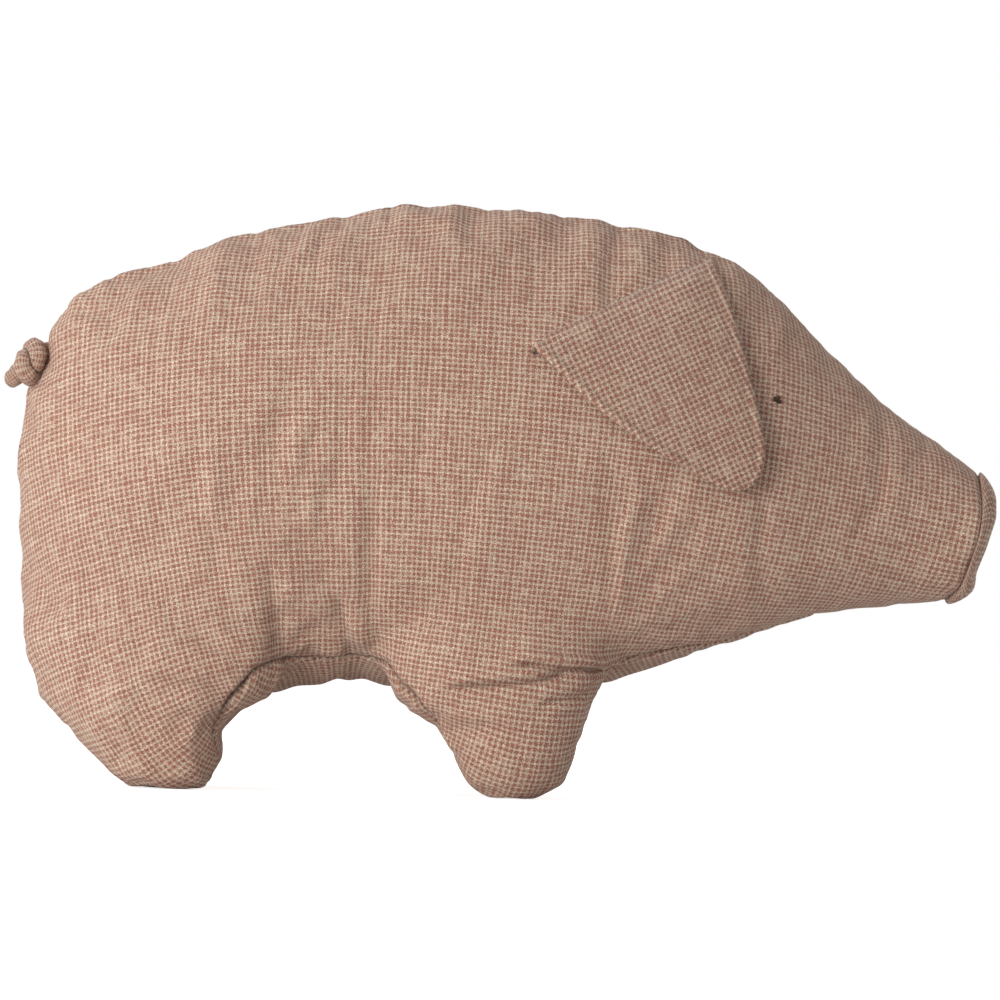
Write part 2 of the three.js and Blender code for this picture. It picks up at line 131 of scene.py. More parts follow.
class SeamSettings(bpy.types.PropertyGroup):
    """The valleys and puckers along the seams."""

    depth: FloatProperty(
        name="Depth", description="Depth of a seam's valley", default=2.0 * MM, unit="LENGTH")
    width: FloatProperty(
        name="Width", description="Half width of a seam's valley", default=1.9 * MM, unit="LENGTH")
    pucker: FloatProperty(
        name="Pucker", description="Height of the puckers beside a seam",
        default=1.0 * MM, unit="LENGTH")
    notch: FloatProperty(
        name="Notch", description="Depth of the few deep puckers along the back",
        default=1.6 * MM, unit="LENGTH")
    pucker_reach: FloatProperty(
        name="Pucker reach", description="How far the puckers run from a seam",
        default=11 * MM, unit="LENGTH")


class SnoutSettings(bpy.types.PropertyGroup):
    """The padded disc that closes the snout."""

    rim: FloatProperty(
        name="Rim", description="Width of the cloth that rolls over at the disc's edge",
        default=6.5 * MM, unit="LENGTH")
    lip: FloatProperty(
        name="Lip", description="How far the rim stands out round its seam", default=3.4 * MM,
        unit="LENGTH")
    low_lip: FloatProperty(
        name="Low lip", description="How much further it stands out below", default=1.2 * MM,
        unit="LENGTH")
    high_lip: FloatProperty(
        name="High lip", description="How much further it stands out above", default=1.0 * MM,
        unit="LENGTH")
    bow: FloatProperty(
        name="Bow", description="How far the front's two sides lie behind its middle",
        default=2.6 * MM, unit="LENGTH")
    proud: FloatProperty(
        name="Proud", description="How far the middle stands before the side view's outline",
        default=0.6 * MM, unit="LENGTH")


class EarSettings(bpy.types.PropertyGroup):
    """The hanging ears."""

    root: FloatVectorProperty(
        name="Root", description="Rear end of the sewn root, along and up",
        default=(16.0 * MM, 205.0 * MM), size=2, unit="LENGTH")
    length: FloatProperty(
        name="Root length", description="Length of the sewn root", default=87.5 * MM, unit="LENGTH")
    tilt: FloatProperty(
        name="Root tilt", description="Slope of the sewn root", default=math.radians(26.2),
        unit="ROTATION")
    depth: FloatProperty(
        name="Depth", description="From root to tip", default=98.5 * MM, unit="LENGTH")
    ply: FloatProperty(
        name="Ply", description="Thickness of each of the two plies", default=1.3 * MM,
        unit="LENGTH")
    lift: FloatProperty(
        name="Lift", description="How far the tip stands off the head", default=3.4 * MM,
        unit="LENGTH")
    tuck: FloatProperty(
        name="Tuck", description="How far the root reaches under the seam", default=2.6 * MM,
        unit="LENGTH")
    trim: FloatProperty(
        name="Trim", description="How far the lining stays behind the outer ply's edge",
        default=0.7 * MM, unit="LENGTH")
    sunk: FloatProperty(
        name="Sunk", description="How deep the root's edge lies in the seam", default=3.2 * MM,
        unit="LENGTH")
    clear: FloatProperty(
        name="Clear", description="How far the lining stays off the head", default=3.4 * MM,
        unit="LENGTH")
    front_lift: FloatProperty(
        name="Front lift", description="How far the front edge's tip stands off", default=1.0 * MM,
        unit="LENGTH")
    wave: FloatProperty(
        name="Wave", description="Height of the slow waves towards the tip", default=2.4 * MM,
        unit="LENGTH")
    edge: FloatProperty(
        name="Edge", description="Radius of the turned edge", default=1.6 * MM, unit="LENGTH")
    rib: FloatProperty(
        name="Rib", description="Height of the rib that the seam allowance makes inside the edge",
        default=0.45 * MM, unit="LENGTH")
    dent: FloatProperty(
        name="Dent", description="Depth of the dent behind the rib", default=0.35 * MM,
        unit="LENGTH")


class TailSettings(bpy.types.PropertyGroup):
    """The knotted tail."""

    tube: FloatProperty(
        name="Tube", description="Diameter of the cloth tube", default=9.0 * MM, unit="LENGTH")
    knot: FloatVectorProperty(
        name="Knot", description="Middle of the knot, along and up",
        default=(-212.4 * MM, 188.3 * MM), size=2, unit="LENGTH")
    slope: FloatProperty(
        name="Slope", description="How steeply the tail points down",
        default=math.radians(16), unit="ROTATION")
    turn: FloatProperty(
        name="Turn", description="Turn of the knot about the tail", default=math.radians(250),
        unit="ROTATION")
    gap: FloatProperty(
        name="Gap", description="Distance between the knot's turns", default=4.3 * MM, unit="LENGTH")
    stretch: FloatProperty(
        name="Stretch", description="How much longer the knot is than a round one", default=1.15)
    puff: FloatProperty(
        name="Puff", description="Share by which the tube's bulges change its radius", default=0.2,
        subtype="FACTOR")
    bulge: FloatProperty(
        name="Bulge", description="Width of the tube's bulges", default=3.2 * MM, unit="LENGTH")
    gather: FloatProperty(
        name="Gather", description="How much finer the check looks where the tube is bunched",
        default=1.7)
    free_end: FloatProperty(
        name="Free end", description="How far the free end stands out of the knot's middle",
        default=15.4 * MM, unit="LENGTH")


class EyeSettings(bpy.types.PropertyGroup):
    """The stitched eyes."""

    place: FloatVectorProperty(
        name="Place", description="Along and up", default=(124.7 * MM, 183.0 * MM), size=2,
        unit="LENGTH")
    thread: FloatProperty(
        name="Thread", description="Diameter of the thread", default=1.15 * MM, unit="LENGTH")
    colour: FloatVectorProperty(
        name="Colour", description="Colour of the thread", subtype="COLOR",
        default=(0.045, 0.02, 0.009))


class StudioSettings(bpy.types.PropertyGroup):
    """Camera, lamps and floor."""

    view_width: FloatProperty(
        name="View width", description="Width that the picture shows", default=453.6 * MM,
        unit="LENGTH")
    aim: FloatVectorProperty(
        name="Aim", description="Point in the middle of the picture",
        default=(1.2 * MM, 0.0, 134.1 * MM), size=3, unit="LENGTH")
    roll: FloatProperty(
        name="Roll", description="Turn of the camera about its line of sight",
        default=math.radians(1.67), unit="ROTATION")
    lens: FloatProperty(
        name="Lens", description="Focal length in millimetres", default=500.0)


# Settings that the scene carries
SETTINGS = {
    "pig_cloth": ClothSettings, "pig_stuffing": StuffingSettings, "pig_seams": SeamSettings,
    "pig_snout": SnoutSettings, "pig_ears": EarSettings, "pig_tail": TailSettings,
    "pig_eyes": EyeSettings, "pig_studio": StudioSettings,
}

# Folds of the cloth, seen from the side: points along and up in millimetres, then the groove's
# depth and half width, and how much of its depth stands up as a ridge above or behind the line
# and below or before it
FOLDS = {
    "front_leg_low": (
        [(-25, 47.6), (-14, 49.8), (3, 51.5), (17, 53), (28, 55.6), (40, 58.6)], 3.6, 1.8, 0.9, 0.1),
    "front_leg_high": ([(5, 60.8), (18, 60.6), (34, 59.4), (50.6, 58.9), (64, 58.5)], 3.8, 1.8, 0.9, 0.1),
    "front_leg_side": ([(20, 42), (32.4, 45.6), (47, 48.6)], 1.8, 1.9, 0.6, 0.4),
    "long_crease_high": ([(-56.9, 228), (-57.8, 196), (-56, 164), (-56.1, 137)], 0.5, 4.2, 0.2, 0.7),
    "long_crease": ([(-56, 150), (-56.5, 125), (-56.5, 105), (-54.8, 80), (-51.5, 56)], 1.3, 4.8, 0.1, 0.9),
    "flank_rear": ([(-91.6, 202), (-95.6, 183.5), (-99.5, 163), (-100.7, 140)], 0.7, 5.0, 0.2, 0.8),
    "flank_middle": ([(-79, 181), (-84.7, 154.3), (-88.6, 131.5), (-89.9, 110)], 0.6, 3.6, 0.6, 0.4),
    "flank_front": ([(-68.4, 187), (-69.9, 159), (-72.3, 132)], 0.5, 3.4, 0.5, 0.4),
    "shoulder": ([(0.2, 168), (-5.7, 152), (-13.2, 129), (-17.1, 106), (-17.8, 84)], 0.5, 4.0, 0.8, 0.3),
    "shoulder_rear": ([(-31.9, 181), (-34.8, 156), (-39.6, 133)], 0.4, 4.0, 0.6, 0.3),
    "cheek": ([(119, 148), (120, 130), (119, 112), (120.5, 99), (125, 82)], 0.9, 4.6, 0.15, 0.5),
    "belly_rear": ([(-103, 112), (-100, 90), (-97.5, 70), (-94.5, 50)], 1.6, 4.8, 0.1, 0.8),
    "belly_front": ([(-70.2, 92), (-67.4, 75.4), (-63.8, 58)], 1.9, 3.8, 0.6, 0.3),
    "hind_leg": ([(-158, 50), (-146, 49.4), (-133, 48), (-117, 46)], 1.5, 3.6, 0.3, 0.6),
    "hind_leg_low": ([(-171, 9), (-161, 14.5), (-148, 15.2)], 0.6, 3.0, 0.3, 0.5),
    "brow": ([(159.9, 188), (158.4, 172.8), (159.4, 157)], 0.5, 4.4, 0.5, 0.4),
    "brow_front": ([(172.3, 180), (174.5, 166.4), (177.2, 152)], 0.4, 4.0, 0.5, 0.5),
    "back_front": ([(-83.1, 256), (-83.7, 243), (-85, 226)], 0.7, 3.6, 0.3, 0.6),
    "back_middle": ([(-109.9, 243), (-111.3, 226), (-109, 208)], 0.8, 3.8, 0.4, 0.4),
    "ear_pinch": ([(13.5, 200.6), (18, 202.2), (22.5, 203.5)], 3.0, 1.7, 0.5, 0.1),
    "chin": ([(93.7, 70), (103.4, 82.7), (113, 97)], 0.5, 4.4, 0.4, 0.4),
}

# Places of the left side's folds against those of the right side, in millimetres, and their depth
LEFT_SHIFT = (5, -3)
LEFT_DEPTH_SHARE = 0.8

# Middle and half width of the ridges beside a fold's groove, as shares of the groove's half width
RIDGE_SHARE = 2.1
RIDGE_WIDTH_SHARE = 1.4

# Small moves of the cover, in millimetres: along and up, then the move along and up, and its reach
MOVES = (
    # Rump
    (-212, 66, -4.2, 0, 17), (-204, 36, -3.2, -0.8, 7), (-214.5, 104, 0.8, 0, 9),
    (-213.6, 152, -3.2, 0, 15), (-211, 178, -4.0, 0, 11), (-203, 207, -4.0, 1.2, 10),
    (-195, 219, -1.8, 1.8, 9),
    # Back and brow
    (-178, 231, -0.3, 1.0, 9), (-124, 251, 0, 1.4, 10), (-50, 264, 0, 2.2, 11),
    (-26, 266, 0, 1.2, 11), (11, 263.5, 0, 1.4, 10), (44, 261, 0, 0.4, 9), (76, 252, 0, 0.4, 8),
    (108, 236, 0.8, 1.2, 14),
    # Snout and chin
    (188, 174, -0.5, -0.8, 18), (183, 87, 0, -1.9, 22), (134, 77, 0, 0.4, 20),
    (207, 102, 3.6, 0, 6), (204, 92.5, -2.4, -0.6, 4.5), (212, 115, 1.4, 0, 9),
    (214, 131, 1.2, 0, 9),
    # Belly
    (-95, 46, 0, -1.6, 6), (-101, 47, 0, -3.0, 7), (-46.5, 45, 0, -5.0, 5.5),
    (-38, 38, -0.8, -0.8, 5), (-26, 30, 0.9, 0.9, 6), (-59, 52, 0, 2.2, 3.6),
    # Hind leg
    (-127, 13, 3.0, 0, 9), (-134, 1, 5.0, 0, 6), (-119, 25, -2.6, 0, 5), (-78, 50, 0, -1.0, 10),
    (-181, 14, 0.3, 0.3, 12),
    # Front leg
    (-13, 11, -1.8, 0, 9), (22, 2, 0.4, 0.2, 6), (31, 8, 1.8, -0.6, 6), (-7, 5.5, -1.2, -1.0, 6),
    (42, 33, 0.9, 0, 14), (53, 52, 0, -1.6, 6),
)

# Inner corner of the hind legs, where the gusset's seam is drawn in: place along and up, the pull
# and its reach, in millimetres
HOCK = ((-127, 16), 4, 14)

# Where the cover changes, in millimetres along, up or away: each change starts and ends there
ZONES = {
    "sole": (3, 0), "foot": (14, 8), "hip_low": (35, 60), "hip_high": (135, 100),
    "wrinkled": (70, 120), "belly": (75, 60), "throat_along": (5, 30), "throat_up": (150, 130),
    "head": (65, 100), "rump": (-195, -210), "back": (170, 220), "leg": (12, 42),
    "muzzle": (195, 200), "floor": (1, 13),
}

# Deep puckers of the back seam, along and up in millimetres
NOTCHES = (
    (-178.6, 231), (-148, 237.8), (-112.1, 252.5), (-72.8, 260.4), (-52.6, 266), (24.6, 264.2),
    (51.9, 261.8), (88.5, 251),
)

# Stitches of an eye: direction, half length, rise, and offsets along and up, in millimetres
EYE_STITCHES = (
    (0.25, 1.3, 1.0, 0, 0.6), (1.35, 1.3, 1.2, 0.4, 0), (2.5, 1.3, 1.1, -0.3, 0.1),
    (0.7, 1.2, 1.5, 0.1, 0.3), (3.0, 1.3, 0.9, 0.1, -0.7), (1.9, 1.2, 1.3, 0.8, -0.2),
)

# Front of the snout disc, seen from the side: up and along in millimetres
LIP = (
    (91.6, 207.8), (94, 213), (98.2, 216.6), (102.5, 217.2), (107.3, 217.5), (118.3, 221.7),
    (132.5, 225.9), (141, 225.6), (145.6, 224.3), (149, 222.7), (152, 221), (154, 220),
)

# Ear outline: share of the depth, then shares of the root length at its rear and front edges
EAR_SHARES = (
    (0, -0.035, 1), (0.06, -0.005, 0.998), (0.17, 0.045, 0.992), (0.35, 0.125, 0.964),
    (0.52, 0.222, 0.929), (0.68, 0.332, 0.893), (0.81, 0.432, 0.86), (0.9, 0.508, 0.823),
    (0.96, 0.565, 0.773), (1, 0.63, 0.70),
)

# Where the tail leaves the back seam, from the knot's middle: along, aside and up in millimetres
TAIL_ROOT = ((25, 0, 8.5), (18, 0, 9), (12.5, 0, 7.5))

# Lamps: place in metres, width and power
LAMPS = {
    "key": ((-1.5, -1.2, 0.9), 1.0, 12.5), "side": ((-1.2, -1.6, 0.3), 0.9, 21),
    "top": ((0.0, 0.3, 2.0), 1.4, 5), "rear": ((-1.6, 0.6, 0.9), 1.0, 4.6),
    "far": ((0.7, 2.2, 0.6), 1.4, 22),
}


def applied(source):
    """The mesh of an object with its modifiers, and the object taken away."""
    graph = bpy.context.evaluated_depsgraph_get()
    mesh = bpy.data.meshes.new_from_object(source.evaluated_get(graph))
    bpy.data.objects.remove(source)
    return mesh


def placed(mesh, name):
    """A new object in the scene."""
    made = bpy.data.objects.new(name, mesh)
    bpy.context.scene.collection.objects.link(made)
    return made


def read(items, key, kind=float, width=1):
    """One value of all items of a mesh as an array, in rows where a value has several numbers."""
    flat = np.zeros(len(items) * width, kind)
    items.foreach_get(key, flat)
    return flat if width == 1 else flat.reshape(-1, width)


def points_of(mesh):
    return read(mesh.vertices, "co", width=3)


def normals_of(mesh):
    return read(mesh.vertex_normals, "vector", width=3)


def edges_of(mesh):
    return read(mesh.edges, "vertices", int, 2)


def corner_points(mesh):
    return read(mesh.loops, "vertex_index", int)


def corner_panels(mesh):
    """The panel that each face corner belongs to."""
    return np.repeat(
        read(mesh.polygons, "material_index", int), read(mesh.polygons, "loop_total", int))


def set_points(mesh, points):
    mesh.vertices.foreach_set("co", np.asarray(points, np.float32).ravel())
    mesh.update()


def set_grain(mesh, places):
    """Tells each face corner its place on the flat cloth, in metres."""
    layer = mesh.uv_layers.get(GRAIN) or mesh.uv_layers.new(name=GRAIN)
    layer.uv.foreach_set("vector", places.astype(np.float32).ravel())


def set_painted_shade(mesh, near):
    """Tells each point how strongly painted shade darkens its colour, from 0 to 1: in the valleys of seams,
    in the grooves of folds and in the dent inside an ear's edge.
    """
    mesh.attributes.new(PAINTED_SHADE, "FLOAT", "POINT").data.foreach_set("value", near.astype(np.float32))


def faced_outward(mesh, merge=0.0):
    """Turns all faces outward, after it joins points that lie closer than the merging distance."""
    body = bmesh.new()
    body.from_mesh(mesh)
    if merge:
        bmesh.ops.remove_doubles(body, verts=body.verts, dist=merge)
    bmesh.ops.recalc_face_normals(body, faces=body.faces)
    body.to_mesh(mesh)
    body.free()


def relaxed(points, edges, rounds, weight=0.5):
    """Points drawn towards the middle of their neighbours; weight may differ from point to point."""
    count = np.maximum(np.bincount(edges.ravel(), minlength=len(points)), 1)[:, None]
    weight = np.broadcast_to(np.asarray(weight, float), (len(points),))[:, None]
    for _ in range(rounds):
        total = np.stack([
            np.bincount(edges[:, 0], points[edges[:, 1], axis], len(points))
            + np.bincount(edges[:, 1], points[edges[:, 0], axis], len(points))
            for axis in range(3)], axis=1)
        points = points + weight * (total / count - points)
    return points


def smoothstep(low, high, value):
    """A smooth change from 0 at the low value to 1 at the high one."""
    share = np.clip((value - low) / (high - low), 0, 1)
    return share * share * (3 - 2 * share)


def zone(name, value):
    """How far a change of the cover has gone at a value, from 0 to 1."""
    start, end = ZONES[name]
    return smoothstep(start * MM, end * MM, value)


def through(points, steps):
    """A smooth line through the points, with so many steps between each two."""
    points = np.asarray(points, float)
    ends = np.vstack([2 * points[0] - points[1], points, 2 * points[-1] - points[-2]])
    made = []
    for first in range(len(points) - 1):
        a, b, c, d = ends[first:first + 4]
        for t in np.arange(steps) / steps:
            made.append(0.5 * (2 * b + (c - a) * t + (2 * a - 5 * b + 4 * c - d) * t**2
                               + (3 * b - a - 3 * c + d) * t**3))
    return np.array([*made, points[-1]])


def solid_tree(name):
    """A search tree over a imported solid."""
    mesh = frame["nodes"][name].data
    mesh.calc_loop_triangles()
    return BVHTree.FromPolygons(
        [v.co for v in mesh.vertices], [t.vertices for t in mesh.loop_triangles])


def closed_skin(names, grid):
    """One even closed skin round the named solids."""
    gathered = bmesh.new()
    for name in names:
        gathered.from_mesh(frame["nodes"][name].data)
    bmesh.ops.remove_doubles(gathered, verts=gathered.verts, dist=TINY)
    mesh = bpy.data.meshes.new("skin")
    gathered.to_mesh(mesh)
    gathered.free()
    source = placed(mesh, "skin")
    even = source.modifiers.new("Even", "REMESH")
    even.mode = "VOXEL"
    even.voxel_size = grid
    return applied(source)


def cut_along(body, values, snap=0.2):
    """Cuts faces where the values, one for each vertex, pass through zero; near vertices move there."""
    for edge in list(body.edges):
        first, last = edge.verts
        low, high = values[first], values[last]
        if low * high >= 0:
            continue
        share = low / (low - high)
        near = first if share < snap else last if share > 1 - snap else None
        if near is not None:
            near.co = first.co.lerp(last.co, share)
            values[near] = 0.0
    for edge in list(body.edges):
        first, last = edge.verts
        low, high = values[first], values[last]
        if low * high < 0:
            _, middle = bmesh.utils.edge_split(edge, first, low / (low - high))
            values[middle] = 0.0
    for face in list(body.faces):
        marked = [vert for vert in face.verts if values[vert] == 0]
        if len(marked) == 2 and body.edges.get(marked) is None:
            bmesh.utils.face_split(face, *marked)


def eased(values, rounds):
    """Values of vertices drawn towards those of their neighbours."""
    around = {vert: [edge.other_vert(vert) for edge in vert.link_edges] for vert in values}
    for _ in range(rounds):
        values = {vert: (values[vert] + sum(values[other] for other in others) / len(others)) / 2
                  for vert, others in around.items()}
    return values


def panelled_skin(grid):
    """The toy's skin, cut along its seams, each face's material index telling its panel."""
    mesh = closed_skin(PANELS + FILLINGS, grid)
    nearest = {name: solid_tree(name).find_nearest for name in PANELS}
    body = bmesh.new()
    body.from_mesh(mesh)
    for face in body.faces:
        face.material_index = RIGHT

    def closer_to(name, others):
        return {v: min(nearest[o](v.co)[3] for o in others) - nearest[name](v.co)[3]
                for v in body.verts}

    def under_side():
        values = closer_to("belly_gusset", (*PANELS[:2], "snout_disc"))
        (along, up), pull, reach = HOCK
        for vert, value in values.items():
            gap = math.hypot(vert.co.x - along * MM, vert.co.z - up * MM)
            values[vert] = value - pull * MM * math.exp(-(gap / (reach * MM))**2)
        return values

    cuts = (
        (GUSSET, under_side),
        (DISC, lambda: closer_to("snout_disc", PANELS[:2])),
        (LEFT, lambda: {v: v.co.y for v in body.verts}),
    )
    for index, measure in cuts:
        values = eased(measure(), 5) if index != LEFT else measure()
        cut_along(body, values)
        for face in body.faces:
            if face.material_index == RIGHT and sum(values[v] for v in face.verts) > 0:
                face.material_index = index
    body.to_mesh(mesh)
    body.free()
    return mesh


def seam_edges(mesh):
    """For each edge, whether it joins two panels."""
    corner_edge = read(mesh.loops, "edge_index", int)
    panel = corner_panels(mesh)
    low = np.full(len(mesh.edges), len(PANELS))
    high = np.full(len(mesh.edges), -1)
    np.minimum.at(low, corner_edge, panel)
    np.maximum.at(high, corner_edge, panel)
    return low != high


def flatten(mesh):
    """Lays each panel flat in metres, so that the weave runs as on the cut cloth."""
    mesh.uv_layers.new(name=GRAIN)
    mesh.edges.foreach_set("use_seam", seam_edges(mesh))
    sheet = placed(mesh, "flat")
    bpy.context.view_layer.objects.active = sheet
    bpy.ops.object.mode_set(mode="EDIT")
    bpy.ops.mesh.select_all(action="SELECT")
    bpy.ops.uv.unwrap(method="MINIMUM_STRETCH", iterations=12)
    bpy.ops.object.mode_set(mode="OBJECT")
    bpy.data.objects.remove(sheet)

    flat = read(mesh.uv_layers[GRAIN].uv, "vector", width=2)
    corners = read(mesh.polygons, "loop_total", int)
    starts = np.cumsum(corners) - corners
    panel = corner_panels(mesh)
    following = np.arange(len(mesh.loops)) + 1
    following[starts + corners - 1] = starts
    places = points_of(mesh)[corner_points(mesh)]
    true_length = np.linalg.norm(places[following] - places, axis=1)
    flat_length = np.linalg.norm(flat[following] - flat, axis=1)
    for index, axes in ((RIGHT, (0, 2)), (LEFT, (0, 2)), (GUSSET, (0, 1)), (DISC, (1, 2))):
        mine = panel == index
        target = places[mine][:, axes]
        middle = flat[mine].mean(0)
        left, _, right = np.linalg.svd((flat[mine] - middle).T @ (target - target.mean(0)))
        scale = true_length[mine].sum() / flat_length[mine].sum()
        flat[mine] = (flat[mine] - middle) @ (left @ right) * scale + target.mean(0)
    set_grain(mesh, flat)


def filled(mesh, stuffing):
    """The cover swollen by its filling, held along its seams, moved no further than the reach."""
    before = points_of(mesh)
    cover = placed(mesh.copy(), "cover")
    sewn = cover.vertex_groups.new(name="sewn")
    held = np.unique(edges_of(mesh)[seam_edges(mesh)])
    sewn.add([int(i) for i in held], 1.0, "REPLACE")
    cloth = cover.modifiers.new("Filling", "CLOTH")
    settings = cloth.settings
    settings.quality = 6
    settings.mass = 0.25
    settings.tension_stiffness = 20
    settings.compression_stiffness = 20
    settings.shear_stiffness = 8
    settings.bending_stiffness = 0.25
    settings.vertex_group_mass = "sewn"
    settings.use_pressure = True
    settings.uniform_pressure_force = stuffing.pressure
    settings.shrink_min = -stuffing.spare
    settings.effector_weights.gravity = 0
    cloth.collision_settings.use_collision = False
    cloth.point_cache.frame_end = stuffing.frames
    for step in range(1, stuffing.frames + 1):
        bpy.context.scene.frame_set(step)
    swollen = points_of(applied(cover))
    bpy.context.scene.frame_set(1)
    move = swollen - before
    broad = relaxed(move, edges_of(mesh), 30)
    move = move - broad * (1 - stuffing.swell)
    move *= 0.85 - 0.45 * zone("wrinkled", before[:, :1])
    far = np.linalg.norm(move, axis=1, keepdims=True)
    limit = stuffing.reach * np.tanh(far / stuffing.reach) / np.maximum(far, TINY)
    return before + move * limit


def nudged(points):
    """Points after the small moves of the outline."""
    moved = points.copy()
    for along, up, right, rise, reach in MOVES:
        near = np.exp(-(np.hypot(points[:, 0] - along * MM, points[:, 2] - up * MM) / (reach * MM))**2)
        moved[:, 0] += near * right * MM
        moved[:, 2] += near * rise * MM
    return moved


def subdivided(mesh):
    """The mesh with each face cut in four and smoothed."""
    source = placed(mesh, "fine")
    finer = source.modifiers.new("Finer", "SUBSURF")
    finer.levels = finer.render_levels = 1
    return applied(source)


def seam_tree(points, pairs, step):
    """A search tree of points set close together along the seams."""
    rows = []
    for a, b in points[pairs]:
        count = max(2, int(np.linalg.norm(b - a) / step))
        rows.extend(a + (b - a) * t for t in np.arange(count) / count)
    tree = KDTree(len(rows))
    for index, row in enumerate(rows):
        tree.insert(row, index)
    tree.balance()
    return tree


def ripple(place, size, seed):
    """Smooth noise round zero, of that size in metres."""
    x, y, z = place
    return noise.noise(Vector((x / size + seed, y / size, z / size)))


def puckered(place):
    """How strongly the cloth puckers at a place on a seam, and how calmly it lies there."""
    throat = zone("throat_along", place.x) * zone("throat_up", place.z)
    calm = max(zone("head", place.x), throat)
    strength = 1 + 0.6 * zone("belly", place.z)
    strength *= 1 - 0.85 * calm - 0.4 * zone("rump", place.x)
    strength *= 1 - 0.4 * zone("back", place.z)
    strength *= 0.3 + 0.7 * zone("leg", place.z)
    return strength, calm


def seam_relief(points, normals, tree, seams):
    """Points with a valley and puckers along each seam, and the painted shade that darkens each seam's
    valley.
    """
    moved = points.copy()
    near = np.zeros(len(points))
    reach = 2.2 * seams.pucker_reach
    crest = 3.2 * MM
    notch_width, notch_reach = 3.6 * MM, 11 * MM
    notches = np.array(NOTCHES) * MM
    for index, point in enumerate(points):
        place, _, gap = tree.find(point)
        if gap > reach:
            continue
        wave = 0.8 * ripple(place, 19 * MM, 3) + 0.35 * ripple(place, 8 * MM, 11)
        apart = np.hypot(notches[:, 0] - place.x, notches[:, 1] - place.z)
        notch = np.exp(-(apart / notch_width)**2).sum()
        if gap < crest:
            envelope = (gap / crest) * math.exp(1 - gap / crest)
        else:
            envelope = math.exp(-((gap - crest) / seams.pucker_reach)**2)
        strength, calm = puckered(place)
        thin = zone("muzzle", place.x)
        valley = math.exp(-(gap / (seams.width * (1 - 0.4 * thin)))**2)
        depth = seams.depth * (1 - 0.65 * thin) * (1 + 0.5 * (1 - calm) * ripple(place, 12 * MM, 7))
        depth *= 0.25 + 0.75 * zone("floor", place.z)
        # Painted shade: the cloth's colour is darkened in the seam's valley, less on the muzzle.
        near[index] = valley * (1 - 0.5 * thin)
        push = 2 * seams.pucker * strength * wave * envelope - depth * valley
        push -= seams.notch * notch * math.exp(-gap / notch_reach)
        pull = np.array(place) - point
        tight = 0.45 * valley * smoothstep(0, 0.5 * MM, gap)
        moved[index] = point + normals[index] * push + pull * tight
    return moved, near


def folded(points, normals, line, depth, width, upper, lower):
    """How a fold moves each point and how much painted shade darkens its groove. The line runs from left to
    right or downwards.
    """
    curve = through(line, 8) * MM
    width = width * MM
    left = points[:, 1] > 0
    depth = np.where(left, LEFT_DEPTH_SHARE, 1.0) * depth * MM
    flat = points[:, (0, 2)] - np.where(left, 1, 0)[:, None] * np.array(LEFT_SHIFT) * MM
    best = np.full(len(points), np.inf)
    signed, along = np.zeros(len(points)), np.zeros(len(points))
    pull = np.zeros((len(points), 2))
    lengths = np.concatenate([[0], np.cumsum(np.linalg.norm(np.diff(curve, axis=0), axis=1))])
    for step in range(len(curve) - 1):
        start, edge = curve[step], curve[step + 1] - curve[step]
        size = np.linalg.norm(edge)
        share = np.clip(((flat - start) @ edge) / size**2, 0, 1)
        off = flat - start - share[:, None] * edge
        gap = np.linalg.norm(off, axis=1)
        closer = gap < best
        best = np.where(closer, gap, best)
        cross = edge[0] * off[:, 1] - edge[1] * off[:, 0]
        signed = np.where(closer, np.sign(cross) * gap, signed)
        pull = np.where(closer[:, None], -off, pull)
        along = np.where(closer, (lengths[step] + share * size) / lengths[-1], along)
    ends = smoothstep(0, 0.22, along) * smoothstep(1, 0.78, along)
    groove = -np.exp(-(signed / width)**2)
    ridge = RIDGE_WIDTH_SHARE * width
    above = upper * np.exp(-((signed - RIDGE_SHARE * width) / ridge)**2)
    below = lower * np.exp(-((signed + RIDGE_SHARE * width) / ridge)**2)
    seen = ends * smoothstep(0.15, 0.6, np.abs(normals[:, 1]))
    move = normals * (depth * (groove + above + below) * seen)[:, None]
    gather = 0.5 * np.minimum(depth / (3 * MM), 1) * np.exp(-(best / (1.6 * width))**2) * seen
    move[:, (0, 2)] += pull * gather[:, None]
    # Painted shade: darkens the cloth's colour along the fold's groove.
    shade = np.clip(depth / (5 * MM) - 0.15, 0, 1) * np.exp(-(best / (0.7 * width))**2) * seen
    return move, shade


def around(places, middle, angle, spread=0.3):
    """Distance from the middle and place along, of a ring of places, evened out and read at angles."""
    turned = np.arctan2(places[:, 2] - middle[1], places[:, 1] - middle[0])
    order = np.argsort(turned)
    turned, places = turned[order], places[order]
    out = np.hypot(places[:, 1] - middle[0], places[:, 2] - middle[1])
    offsets = np.linspace(-spread, spread, 13)
    return [
        np.mean([np.interp(angle + shift, turned, values, period=2 * math.pi) for shift in offsets], axis=0)
        for values in (out, places[:, 0])]


